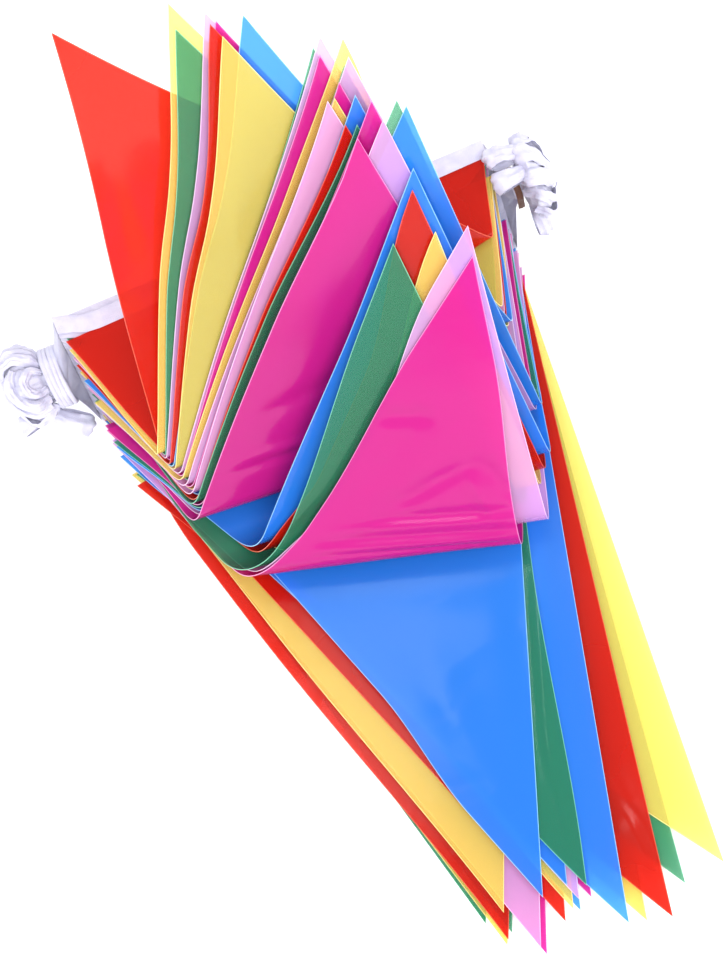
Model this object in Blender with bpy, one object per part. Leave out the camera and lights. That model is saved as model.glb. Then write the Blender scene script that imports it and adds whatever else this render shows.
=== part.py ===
"""A bundled string of film pennants, laid down as it comes out of its bag.

Fifty-one triangular pennants hang from one white tape. The tape runs back and forth
along their top edges, and its loops are gathered in a hank at each end. The upper
pennants are folded up and over in a soft fan, and the lower ones lie straight.

X runs along the tape, -Y towards the straight pennants' tips, and Z is up. Sizes are in
millimetres and angles in degrees, with the top of the stack's tape near Y = 0, until a
mesh is made, which is in metres from the origin.
"""

import math
from collections import namedtuple

import bmesh
import bpy
from mathutils import Vector

MM = 0.001

# The origin, on the underside of the lowest pennant
ORIGIN = Vector((0.0, -110.0, 0.0))

# One pennant, as cut
PENNANT_WIDTH = 200.0
PENNANT_DROP = 290.0
HALF_WIDTH = PENNANT_WIDTH / 2

# Sheets of film and tape as solids, and the air between neighbours
SHEET = 1.0
AIR = 0.3
PITCH = SHEET + AIR
LEAN = 0.4  # each layer of the stack lies this much further forward than the one above it

# The fan of folded pennants
FOLD_REACH = 60.0  # the fold's distance from the tape is given this far left and right of the middle
INNER_RADIUS = 3.0
RADIUS_STEP = 0.45
ARC_STEPS = 8
LOWER_SHARE = 0.55  # share of a raised film below its steepest place
RUN_STEPS = 3
SWAY_LOW, SWAY_MIDDLE, SWAY_TIP = -7.0, 2.0, -8.0
OUTER_SWAY = 0.3  # the outermost film sways this much of what the innermost does

# The white tape
TAPE_WIDTH = 8.0
TAPE_END = HALF_WIDTH + 2.0
TURN_STEPS = 4

# The hanks of gathered tape, along the tape's line from where its turns end
HANK_START = TAPE_END + (PITCH + SHEET) / 2 + AIR
HANK_SIDES = 30
LOOP_STEPS = 16

# Where a film folds: its distance from the tape at the left and the right, and how
# steeply the film rises behind the fold. Films between two rows share the change evenly.
Fold = namedtuple("Fold", "layer left right rise")
FOLDS = (
    Fold(layer=0, left=54.2, right=33.2, rise=74.8),
    Fold(layer=1, left=58.6, right=57.8, rise=72.8),
    Fold(layer=7, left=63.9, right=63.2, rise=73.0),
    Fold(layer=8, left=65.5, right=74.4, rise=70.8),
    Fold(layer=16, left=72.8, right=83.6, rise=70.4),
    Fold(layer=24, left=80.2, right=91.6, rise=70.1),
    Fold(layer=25, left=92.8, right=103.4, rise=66.9),
    Fold(layer=28, left=99.0, right=118.5, rise=63.5),
    Fold(layer=30, left=100.2, right=135.5, rise=59.0),
)

# Pennants from the top of the stack down: colour, how far the tip swings to the right
# about the hank, in degrees, and how far the pennant slips forward out of the stack.
Pennant = namedtuple("Pennant", "colour swing slip")
RAISED = (
    Pennant("red", 1.5, -1.0),
    Pennant("yellow", 0.0, 7.5),
    Pennant("green", -0.25, -1.0),
    Pennant("pink", 2.25, 2.0),
    Pennant("magenta", 2.75, -0.5),
    Pennant("red", 2.25, 4.0),
    Pennant("blue", 4.75, 2.5),
    Pennant("yellow", 2.75, 4.0),
    Pennant("green", 4.25, -6.5),
    Pennant("pink", 4.75, 2.0),
    Pennant("magenta", 4.25, -2.0),
    Pennant("yellow", 6.0, 5.0),
    Pennant("green", 5.5, -3.0),
    Pennant("pink", 5.75, 5.0),
    Pennant("magenta", 4.5, 0.0),
    Pennant("yellow", 3.75, -1.5),
    Pennant("pink", 3.0, 3.5),
    Pennant("blue", 5.0, 4.5),
    Pennant("red", 3.75, -3.0),
    Pennant("green", 4.5, -1.0),
    Pennant("magenta", 5.75, 12.0),
    Pennant("green", 7.5, 11.5),
    Pennant("blue", 8.0, 11.5),
    Pennant("pink", 6.0, 14.0),
    Pennant("magenta", 3.75, 15.5),
    Pennant("blue", 7.5, 7.0),
    Pennant("red", 5.75, 7.5),
    Pennant("yellow", 5.75, -6.5),
    Pennant("green", 1.0, 6.5),
    Pennant("pink", 3.25, 19.5),
    Pennant("magenta", 0.25, 20.0),
)
LAID = (
    Pennant("blue", 0.0, 0.0),
    Pennant("green", 3.75, -4.0),
    Pennant("blue", 5.75, 14.5),
    Pennant("blue", 2.25, -6.0),
    Pennant("pink", 2.75, 0.0),
    Pennant("yellow", 2.0, 3.5),
    Pennant("blue", 2.5, 4.0),
    Pennant("magenta", 3.75, -2.0),
    Pennant("red", 1.0, 7.0),
    Pennant("yellow", -3.5, -11.0),
    Pennant("pink", -1.75, 11.0),
    Pennant("red", 9.25, 10.5),
    Pennant("magenta", -1.5, 14.0),
    Pennant("yellow", 14.75, -7.5),
    Pennant("green", 11.25, -4.0),
    Pennant("red", -4.0, -3.5),
    Pennant("green", -3.5, -5.5),
    Pennant("yellow", 7.25, 6.5),
    Pennant("yellow", -4.25, -3.5),
    Pennant("green", -5.25, -17.5),
)
LAYERS = len(RAISED) + len(LAID)
STACK_TOP = LAYERS * PITCH - AIR

# A hank's sections: the way out from its start, its middle's place in Y and how far that is
# below the stack's top, its half sizes in Y and Z, how square it is, how deep its pleats are
# and how far they have turned. It starts as high as the whole stack.
Section = namedtuple("Section", "out y below half_y half_z square pleat twist")
WHOLE_STACK = Section(
    out=0.0, y=-4.5, below=STACK_TOP / 2, half_y=3.4, half_z=STACK_TOP / 2 - 1.0,
    square=4.0, pleat=0.0, twist=0,
)
LEFT_HANK = (
    WHOLE_STACK,
    Section(out=2.5, y=-6.0, below=28.3, half_y=9.0, half_z=20.0, square=2.4, pleat=0.05, twist=0),
    Section(out=4.0, y=-7.0, below=27.9, half_y=12.0, half_z=12.0, square=2.0, pleat=0.0, twist=0),
    Section(out=13.0, y=-7.0, below=27.9, half_y=12.0, half_z=12.0, square=2.0, pleat=0.0, twist=0),
    Section(out=15.0, y=-6.5, below=28.9, half_y=15.5, half_z=15.0, square=2.0, pleat=0.09, twist=5),
    Section(out=19.0, y=-5.5, below=30.4, half_y=17.0, half_z=17.5, square=2.2, pleat=0.10, twist=14),
    Section(out=24.0, y=-4.5, below=31.4, half_y=16.5, half_z=17.5, square=2.2, pleat=0.10, twist=26),
    Section(out=28.0, y=-3.5, below=31.9, half_y=14.0, half_z=15.0, square=2.1, pleat=0.09, twist=38),
    Section(out=30.5, y=-3.0, below=31.9, half_y=9.5, half_z=10.0, square=2.0, pleat=0.08, twist=48),
    Section(out=29.5, y=-3.0, below=31.9, half_y=4.0, half_z=4.5, square=2.0, pleat=0.05, twist=60),
)
RIGHT_HANK = (
    WHOLE_STACK,
    Section(out=2.0, y=-6.5, below=23.9, half_y=8.0, half_z=18.0, square=2.4, pleat=0.05, twist=0),
    Section(out=3.5, y=-9.0, below=18.9, half_y=6.8, half_z=6.8, square=2.0, pleat=0.0, twist=0),
    Section(out=7.5, y=-9.0, below=18.9, half_y=6.8, half_z=6.8, square=2.0, pleat=0.0, twist=0),
    Section(out=9.0, y=-10.0, below=15.9, half_y=13.0, half_z=19.0, square=2.2, pleat=0.11, twist=-4),
    Section(out=12.0, y=-11.0, below=14.9, half_y=16.0, half_z=23.0, square=2.4, pleat=0.12, twist=-10),
    Section(out=16.0, y=-11.5, below=16.9, half_y=15.5, half_z=21.0, square=2.3, pleat=0.12, twist=-18),
    Section(out=19.0, y=-11.5, below=18.9, half_y=12.0, half_z=15.0, square=2.2, pleat=0.10, twist=-26),
    Section(out=20.5, y=-11.5, below=18.9, half_y=6.0, half_z=7.0, square=2.0, pleat=0.06, twist=-32),
)
PLEATS = 9

# Loose loops of tape that stand out of a hank: middle (with Z from the stack's top), the
# way the loop points, the way the tape's width lies, half its length, half its height and
# the tape's width there.
Loop = namedtuple("Loop", "middle points wide half_length half_height width")
LEFT_LOOPS = (
    Loop(middle=(-113.8, -21.7, -44.3), points=(0.75, -0.6, -0.25), wide=(0.4, 0.5, 0.75),
         half_length=9.5, half_height=5.0, width=9.0),
    Loop(middle=(-125.0, -17.0, -39.9), points=(-0.4, -0.8, -0.3), wide=(0.6, -0.2, 0.6),
         half_length=8.0, half_height=3.5, width=7.0),
)
RIGHT_LOOPS = (
    Loop(middle=(104.5, -3.0, 6.1), points=(-1.0, 0.2, 0.15), wide=(0.1, 1.0, 0.0),
         half_length=11.0, half_height=4.0, width=8.0),
    Loop(middle=(104.0, -13.0, 5.6), points=(-1.0, -0.1, 0.0), wide=(-0.1, 1.0, 0.0),
         half_length=10.0, half_height=3.6, width=8.0),
    Loop(middle=(117.0, 3.5, -9.9), points=(0.3, 1.0, 0.2), wide=(1.0, -0.3, 0.2),
         half_length=8.5, half_height=4.0, width=8.0),
    Loop(middle=(115.0, -25.0, -29.9), points=(0.1, -1.0, -0.5), wide=(1.0, 0.1, 0.0),
         half_length=9.0, half_height=5.0, width=8.0),
)

# The tape wound round the left neck: how far out it starts, and its turns
WINDING_OUT = 4.6
WINDING_TURNS = 4
WINDING_TURN_WIDTH = 2.0
WINDING_DEPTH = 2.2

# The flat wire tie round the right neck, which leaves a gap and one free tail
TIE_OUT = 4.0
TIE_WIDTH = 3.0
TIE_DEPTH = 1.0
TIE_START = 200.0
TIE_ARC = 290.0
TIE_STEPS = 20
TIE_TAIL = 9.0
TIE_TAIL_LIFT = 0.33  # how far the tail stands off the neck, for each millimetre of its length

# Finishes: linear red, green, blue and roughness
Finish = namedtuple("Finish", "colour roughness")
FINISHES = {
    "film_red": Finish((0.73, 0.03, 0.01), 0.2),
    "film_yellow": Finish((0.90, 0.68, 0.10), 0.2),
    "film_green": Finish((0.03, 0.32, 0.13), 0.2),
    "film_blue": Finish((0.03, 0.23, 0.85), 0.2),
    "film_pink": Finish((0.80, 0.42, 0.75), 0.2),
    "film_magenta": Finish((0.78, 0.02, 0.28), 0.2),
    "tape_white": Finish((0.85, 0.84, 0.90), 0.7),
    "tie_brown": Finish((0.13, 0.04, 0.02), 0.5),
}


def clear_scene():
    """Empty the scene."""
    for item in list(bpy.data.objects):
        bpy.data.objects.remove(item, do_unlink=True)


def finish_material(slot):
    """Return the Principled material of a slot, made once."""
    found = bpy.data.materials.get(slot)
    if found:
        return found
    finish = FINISHES[slot]
    material = bpy.data.materials.new(slot)
    material.use_nodes = True
    shader = material.node_tree.nodes["Principled BSDF"]
    shader.inputs["Base Color"].default_value = (*finish.colour, 1.0)
    shader.inputs["Roughness"].default_value = finish.roughness
    shader.inputs["Metallic"].default_value = 0.0
    material.diffuse_color = (*finish.colour, 1.0)
    return material


def add_object(name, points, faces, slot, smooth=30.0):
    """Add one closed solid, given in millimetres, and return its object."""
    mesh = bpy.data.meshes.new(name)
    mesh.from_pydata([(point - ORIGIN) * MM for point in points], [], faces)
    shape = bmesh.new()
    shape.from_mesh(mesh)
    bmesh.ops.recalc_face_normals(shape, faces=shape.faces)
    shape.to_mesh(mesh)
    shape.free()
    mesh.shade_smooth()
    mesh.set_sharp_from_angle(angle=math.radians(smooth))
    mesh.materials.append(finish_material(slot))
    item = bpy.data.objects.new(name, mesh)
    bpy.context.scene.collection.objects.link(item)
    return item


def swept(rings, sides, closed=False):
    """Return the faces of a run of rings of points, closed on itself or with two flat ends."""
    faces = []
    for ring in range(rings if closed else rings - 1):
        low, high = ring * sides, (ring + 1) % rings * sides
        for side in range(sides):
            after = (side + 1) % sides
            faces.append([low + side, low + after, high + after, high + side])
    if not closed:
        faces.append(list(reversed(range(sides))))
        faces.append([(rings - 1) * sides + side for side in range(sides)])
    return faces


def blend(rows, layer, field):
    """Read one field of a table at a layer, sharing the change between rows evenly."""
    for low, high in zip(rows, rows[1:]):
        if layer <= high.layer:
            share = (layer - low.layer) / (high.layer - low.layer)
            return getattr(low, field) + share * (getattr(high, field) - getattr(low, field))
    return getattr(rows[-1], field)


def layer_height(layer):
    """Height of a layer's mid-surface, with the lowest layer on the floor."""
    return (LAYERS - 1 - layer) * PITCH + SHEET / 2


def swung(point, swing, slip, layer):
    """Place a point of a pennant's flat cut in its layer, swung about one hank."""
    pivot = HALF_WIDTH if swing > 0 else -HALF_WIDTH
    turn = math.radians(swing)
    across, down = point[0] - pivot, -point[1]
    x = pivot + across * math.cos(turn) - down * math.sin(turn)
    y = across * math.sin(turn) + down * math.cos(turn)
    return Vector((x, y - slip - LEAN * layer))


def outline(swing, slip, layer):
    """Return a pennant's left corner, right corner and tip, in plan."""
    cut = ((-HALF_WIDTH, 0.0), (HALF_WIDTH, 0.0), (0.0, PENNANT_DROP))
    return [swung(point, swing, slip, layer) for point in cut]


class Bend:
    """The surface of one folded film: flat, then round the fold, then up with a sway."""

    def __init__(self, layer):
        left = blend(FOLDS, layer, "left")
        right = blend(FOLDS, layer, "right")
        rise = blend(FOLDS, layer, "rise")
        slope = math.atan2(left - right, 2 * FOLD_REACH)
        self.along = Vector((math.cos(slope), math.sin(slope)))
        self.ahead = Vector((math.sin(slope), -math.cos(slope)))
        self.start = Vector((0.0, -(left + right) / 2 - LEAN * layer))
        self.height = layer_height(layer)
        self.radius = INNER_RADIUS + RADIUS_STEP * layer
        share = layer / (len(RAISED) - 1)
        sway = 1 + (OUTER_SWAY - 1) * share
        low, middle, tip = (
            math.radians(180.0 - rise - sway * part) for part in (SWAY_LOW, SWAY_MIDDLE, SWAY_TIP)
        )
        turn = self.radius * low
        run = PENNANT_DROP - (left + right) / 2 - turn
        lower = LOWER_SHARE * run
        # Each stretch: its length, and the film's angle where it starts and ends
        self.stretches = (
            (turn, 0.0, low, ARC_STEPS),
            (lower, low, middle, RUN_STEPS),
            (run - lower, middle, tip, RUN_STEPS),
        )

    def profile(self, reach):
        """Return the way forward, the way up and the film's angle, this far past the fold."""
        if reach <= 0:
            return reach, 0.0, 0.0
        forward = up = angle = 0.0
        for number, (length, begin, end, _) in enumerate(self.stretches, 1):
            part = reach if number == len(self.stretches) else min(reach, length)
            curve = (end - begin) / length
            angle = begin + curve * part
            forward += (math.sin(angle) - math.sin(begin)) / curve
            up += (math.cos(begin) - math.cos(angle)) / curve
            reach -= part
            if reach <= 0:
                break
        return forward, up, angle

    def levels(self, limit):
        """Return the distances past the fold where the film is creased, up to a limit."""
        found, done = [0.0], 0.0
        for length, _, _, steps in self.stretches:
            found += [done + length * step / steps for step in range(1, steps + 1)]
            done += length
        return [level for level in found if level < limit - SHEET]

    def pair(self, place):
        """Return the two faces' points at a place of the flat cut, as laid in plan."""
        offset = place - self.start
        reach = offset.dot(self.ahead)
        forward, up, angle = self.profile(reach)
        plan = self.start + self.along * offset.dot(self.along) + self.ahead * forward
        middle = Vector((plan.x, plan.y, self.height + up))
        normal = Vector((-math.sin(angle) * self.ahead.x, -math.sin(angle) * self.ahead.y, math.cos(angle)))
        return middle + normal * SHEET / 2, middle - normal * SHEET / 2


def crossings(corners, bend, level):
    """Return where a line along the fold, level past it, crosses the two long edges."""
    tip = corners[2]
    places = []
    for corner in corners[:2]:
        begin = (corner - bend.start).dot(bend.ahead)
        end = (tip - bend.start).dot(bend.ahead)
        places.append(corner.lerp(tip, (level - begin) / (end - begin)))
    return places


def sheet_solid(name, rows, slot):
    """Add a sheet from rows of point pairs, from the top edge to a one-pair row at the tip."""
    points, index = [], []
    for row in rows:
        index.append([len(points) + 2 * side for side in range(len(row))])
        for upper, lower in row:
            points += [upper, lower]
    faces = []
    for above, below in zip(index, index[1:]):
        ring = [*above, *reversed(below)]
        faces.append(ring)
        faces.append([corner + 1 for corner in reversed(ring)])
        faces.append([above[0], below[0], below[0] + 1, above[0] + 1])
        faces.append([below[-1], above[-1], above[-1] + 1, below[-1] + 1])
    first = index[0]
    faces.append([first[0], first[1], first[1] + 1, first[0] + 1])
    return add_object(name, points, faces, slot)


def add_raised(layer, raised):
    """Add one folded pennant."""
    bend = Bend(layer)
    corners = outline(raised.swing, raised.slip, layer)
    limit = (corners[2] - bend.start).dot(bend.ahead)
    rows = [[bend.pair(corner) for corner in corners[:2]]]
    for level in bend.levels(limit):
        rows.append([bend.pair(place) for place in crossings(corners, bend, level)])
    rows.append([bend.pair(corners[2])])
    sheet_solid(f"pennant_{layer + 1:02d}_{raised.colour}", rows, f"film_{raised.colour}")


def add_laid(layer, laid):
    """Add one straight pennant."""
    height = layer_height(layer)

    def pair(place):
        return Vector((*place, height + SHEET / 2)), Vector((*place, height - SHEET / 2))

    left, right, tip = outline(laid.swing, laid.slip, layer)
    rows = [[pair(left), pair(right)], [pair(tip)]]
    sheet_solid(f"pennant_{layer + 1:02d}_{laid.colour}", rows, f"film_{laid.colour}")


def tape_plan(layer, swing, slip):
    """Return one layer's tape as (place, half-width vector) in plan, from left to right."""
    left, right, _ = outline(swing, slip, layer)
    behind = (right - left).orthogonal().normalized() * (AIR + TAPE_WIDTH / 2)
    end = AIR + TAPE_WIDTH / 2 - LEAN * layer - min(slip, 0.0)
    path = [
        Vector((-TAPE_END, end)),
        left + behind,
        right + behind,
        Vector((TAPE_END, end)),
    ]
    across = Vector((0.0, TAPE_WIDTH / 2))
    found = [(path[0], across)]
    for before, here, after in zip(path, path[1:], path[2:]):
        normals = [(b - a).orthogonal().normalized() for a, b in ((before, here), (here, after))]
        middle = (normals[0] + normals[1]).normalized()
        found.append((here, middle * (TAPE_WIDTH / 2) / middle.dot(normals[0])))
    found.append((path[3], across))
    return found


def add_header_tape():
    """Add the tape that runs back and forth along every pennant's top edge."""
    plans = [
        tape_plan(layer, pennant.swing, pennant.slip) for layer, pennant in enumerate([*RAISED, *LAID])
    ]
    sections = []
    for layer, plan in enumerate(plans):
        side = 1 if layer % 2 == 0 else -1
        height = layer_height(layer)
        for place, across in plan[::side]:
            sections.append((Vector((*place, height)), across, Vector((0, 0, side * SHEET / 2))))
        if layer == LAYERS - 1:
            break
        here, onward = plan[0][0].y, plans[layer + 1][0][0].y
        for step in range(1, TURN_STEPS):
            angle = math.pi * step / TURN_STEPS
            place = Vector((
                side * (TAPE_END + math.sin(angle) * PITCH / 2),
                here + (onward - here) * step / TURN_STEPS,
                height - PITCH / 2 + math.cos(angle) * PITCH / 2,
            ))
            up = Vector((math.sin(angle), 0, side * math.cos(angle))) * SHEET / 2
            sections.append((place, Vector((0.0, TAPE_WIDTH / 2)), up))
    points = []
    for place, across, up in sections:
        wide = Vector((*across, 0.0))
        points += [place - wide - up, place + wide - up, place + wide + up, place - wide + up]
    return add_object("header_tape", points, swept(len(sections), 4), "tape_white")


def hank_body(name, sections, side):
    """Add a hank's gathered body, on the left (-1) or the right (1)."""
    points = []
    for section in sections:
        for number in range(HANK_SIDES):
            angle = math.tau * number / HANK_SIDES
            pleat = 1 + section.pleat * math.cos(PLEATS * (angle + math.radians(section.twist)))
            power = 2 / section.square
            across = math.copysign(abs(math.cos(angle)) ** power, math.cos(angle)) * section.half_y
            up = math.copysign(abs(math.sin(angle)) ** power, math.sin(angle)) * section.half_z
            lean = up * LEAN / PITCH if section == WHOLE_STACK else 0.0
            points.append(Vector((
                side * (HANK_START + section.out),
                section.y + across * pleat + lean,
                STACK_TOP - section.below + up * pleat,
            )))
    faces = swept(len(sections), HANK_SIDES)
    return add_object(name, points, faces, "tape_white", smooth=50.0)


def tape_loop(name, loop):
    """Add one loop of tape, a flattened ring that is pinched where it leaves the hank."""
    points_way = Vector(loop.points).normalized()
    wide = Vector(loop.wide)
    wide = (wide - points_way * wide.dot(points_way)).normalized()
    up = points_way.cross(wide)
    middle = Vector(loop.middle) + Vector((0.0, 0.0, STACK_TOP))
    points = []
    for step in range(LOOP_STEPS):
        angle = math.tau * step / LOOP_STEPS
        far = (1 + math.cos(angle)) / 2
        height = loop.half_height * (0.45 + 0.55 * far)
        place = middle + points_way * loop.half_length * math.cos(angle) + up * height * math.sin(angle)
        normal = (points_way * height * math.cos(angle) + up * loop.half_length * math.sin(angle)).normalized()
        half = wide * loop.width / 2 * (0.7 + 0.3 * far)
        skin = normal * SHEET / 2
        points += [place - half - skin, place + half - skin, place + half + skin, place - half + skin]
    return add_object(name, points, swept(LOOP_STEPS, 4, closed=True), "tape_white", smooth=50.0)


def add_hank(name, sections, loops, side):
    """Add a hank with its loose loops, joined into one solid."""
    body = hank_body(name, sections, side)
    for number, loop in enumerate(loops):
        piece = tape_loop(f"{name}_loop_{number}", loop)
        piece.display_type = "WIRE"
        piece.hide_render = True
        union = body.modifiers.new(f"loop_{number}", "BOOLEAN")
        union.operation = "UNION"
        union.object = piece
    return body


def neck(sections):
    """Return a hank's neck: its middle in Y and Z and its radius."""
    section = next(section for section in sections[1:] if section.half_y == section.half_z)
    return section.y, STACK_TOP - section.below, section.half_y


def add_winding():
    """Add the turns of tape wound round the left hank's neck, as one ridged ring."""
    y, z, radius = neck(LEFT_HANK)
    inner = radius + AIR
    profile = [(0.0, inner)]
    for turn in range(WINDING_TURNS):
        for share, depth in ((0.1, 0.65), (0.5, 1.0), (0.9, 0.65)):
            profile.append(((turn + share) * WINDING_TURN_WIDTH, inner + depth * WINDING_DEPTH))
    profile.append((WINDING_TURNS * WINDING_TURN_WIDTH, inner))
    points = []
    for number in range(HANK_SIDES):
        angle = math.tau * number / HANK_SIDES
        for out, reach in profile:
            points.append(Vector((
                -(HANK_START + WINDING_OUT + out),
                y + reach * math.cos(angle),
                z + reach * math.sin(angle),
            )))
    return add_object(
        "left_winding", points, swept(HANK_SIDES, len(profile), closed=True), "tape_white", smooth=50.0
    )


def add_tie():
    """Add the flat wire tie round the right hank's neck, with one free tail."""
    y, z, radius = neck(RIGHT_HANK)
    reach = radius + AIR + TIE_DEPTH / 2
    path = []
    for step in range(TIE_STEPS + 1):
        angle = math.radians(TIE_START - TIE_ARC * step / TIE_STEPS)
        out = Vector((0.0, math.cos(angle), math.sin(angle)))
        path.append((Vector((0.0, y, z)) + out * reach, out))
    place, out = path[0]
    onward = Vector((0.0, -out.z, out.y))
    path.insert(0, (place + (onward + out * TIE_TAIL_LIFT) * TIE_TAIL, out))
    start = HANK_START + TIE_OUT
    points = []
    for place, out in path:
        for side, skin in ((0.0, -1), (TIE_WIDTH, -1), (TIE_WIDTH, 1), (0.0, 1)):
            points.append(place + out * skin * TIE_DEPTH / 2 + Vector((start + side, 0.0, 0.0)))
    return add_object("wire_tie", points, swept(len(path), 4), "tie_brown")


def main():
    """Build the whole bundle."""
    clear_scene()
    for layer, raised in enumerate(RAISED):
        add_raised(layer, raised)
    for number, laid in enumerate(LAID):
        add_laid(len(RAISED) + number, laid)
    add_header_tape()
    add_hank("left_hank", LEFT_HANK, LEFT_LOOPS, -1)
    add_hank("right_hank", RIGHT_HANK, RIGHT_LOOPS, 1)
    add_winding()
    add_tie()


main()
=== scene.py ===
"""The bundled string of pennants, dressed: thin glossy films on a white woven tape.

Sizes are in millimetres and angles in degrees, laid out as the solids are, until a mesh
is made in metres. X runs along the tape, -Y towards the straight pennants' tips, Z is up.
"""

import logging
import math
from collections.abc import Callable, Sequence
from dataclasses import dataclass, field
from enum import Enum

import bmesh
import bpy
from bpy.types import ID, Material, NodeSocket, NodeTree, Object
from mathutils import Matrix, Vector, noise


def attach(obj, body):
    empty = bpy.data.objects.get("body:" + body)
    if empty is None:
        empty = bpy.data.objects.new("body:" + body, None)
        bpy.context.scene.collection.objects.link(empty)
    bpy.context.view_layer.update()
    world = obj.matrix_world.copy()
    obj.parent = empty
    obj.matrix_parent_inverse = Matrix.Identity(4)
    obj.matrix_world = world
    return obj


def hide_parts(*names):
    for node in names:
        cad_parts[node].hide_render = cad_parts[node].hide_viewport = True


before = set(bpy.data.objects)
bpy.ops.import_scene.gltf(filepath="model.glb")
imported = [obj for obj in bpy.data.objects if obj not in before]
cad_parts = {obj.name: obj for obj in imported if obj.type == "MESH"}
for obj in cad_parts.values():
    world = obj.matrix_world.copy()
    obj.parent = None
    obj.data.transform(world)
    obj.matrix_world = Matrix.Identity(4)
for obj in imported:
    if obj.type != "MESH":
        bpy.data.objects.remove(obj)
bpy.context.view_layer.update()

LOG = logging.getLogger("pennants")

Pair = tuple[float, float]
Triple = tuple[float, float, float]

MM = 0.001
ORIGIN = Vector((0.0, -110.0, 0.0))  # the solids' origin, in this layout

# One pennant, as cut
PENNANT_WIDTH = 200.0
PENNANT_DROP = 290.0
HALF_WIDTH = PENNANT_WIDTH / 2

# The stack's layers
SHEET = 1.0  # a solid's thickness, which the film stands in the middle of
AIR = 0.3
PITCH = SHEET + AIR
LEAN = 0.4

# The white tape
TAPE_WIDTH = 8.0
TAPE_END = HALF_WIDTH + 2.0


class Tone(Enum):
    """The colours of film on the string."""

    RED = "red"
    YELLOW = "yellow"
    GREEN = "green"
    BLUE = "blue"
    PINK = "pink"
    MAGENTA = "magenta"


RED, YELLOW, GREEN, BLUE, PINK, MAGENTA = Tone


def table(kind: type, *rows: tuple) -> tuple:
    """Make one thing of this kind from each row of values."""
    return tuple(kind(*row) for row in rows)


# ---------------- colour and nodes

# A colour mix's inputs and output, by number, because its names repeat
MIX_SHARE, MIX_FROM, MIX_TO = 0, 6, 7
MIX_COLOURS = {"out": 2, "data_type": "RGBA"}

# What the meshes carry for the materials
CUT_EDGE, TAPE_GRAIN = "cut_edge", "tape"


def linear(code: str, alpha: float = 1.0) -> tuple[float, float, float, float]:
    """Turn an sRGB hex colour into Blender's linear colour.

    Args:
        code: Six hex digits, such as "F2F2F2".
        alpha: The fourth value.

    Returns:
        Linear red, green, blue and alpha.
    """
    parts = [int(code[at:at + 2], 16) / 255 for at in (0, 2, 4)]
    red, green, blue = (
        part / 12.92 if part <= 0.04045 else ((part + 0.055) / 1.055) ** 2.4 for part in parts
    )
    return red, green, blue, alpha


def per_metre(size: float) -> float:
    """Return the texture scale of a pattern of this size."""
    return 1 / (size * MM)


def add_node(
    tree: NodeTree, kind: str, inputs: dict | None = None, out: int | str = 0, **settings
) -> NodeSocket:
    """Add one node with its settings and links.

    Args:
        tree: The node tree it goes in.
        kind: The node's type, without the ShaderNode before it.
        inputs: Values or other nodes' output sockets, by input name or number.
        out: The wanted output, by name or number.
        **settings: The node's own properties.

    Returns:
        The wanted output socket.
    """
    node = tree.nodes.new(f"ShaderNode{kind}")
    for name, value in settings.items():
        setattr(node, name, value)
    for name, value in (inputs or {}).items():
        if isinstance(value, NodeSocket):
            tree.links.new(value, node.inputs[name])
        else:
            node.inputs[name].default_value = value
    return node.outputs[out]


def new_material(name: str) -> tuple[Material, NodeTree, NodeSocket]:
    """Make an empty material.

    Args:
        name: The material's name.

    Returns:
        The material, its node tree and the socket that its surface goes in.
    """
    material = bpy.data.materials.new(name)
    material.use_nodes = True
    tree = material.node_tree
    tree.nodes.clear()
    return material, tree, tree.nodes.new("ShaderNodeOutputMaterial").inputs["Surface"]


# ---------------- finishes


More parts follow.
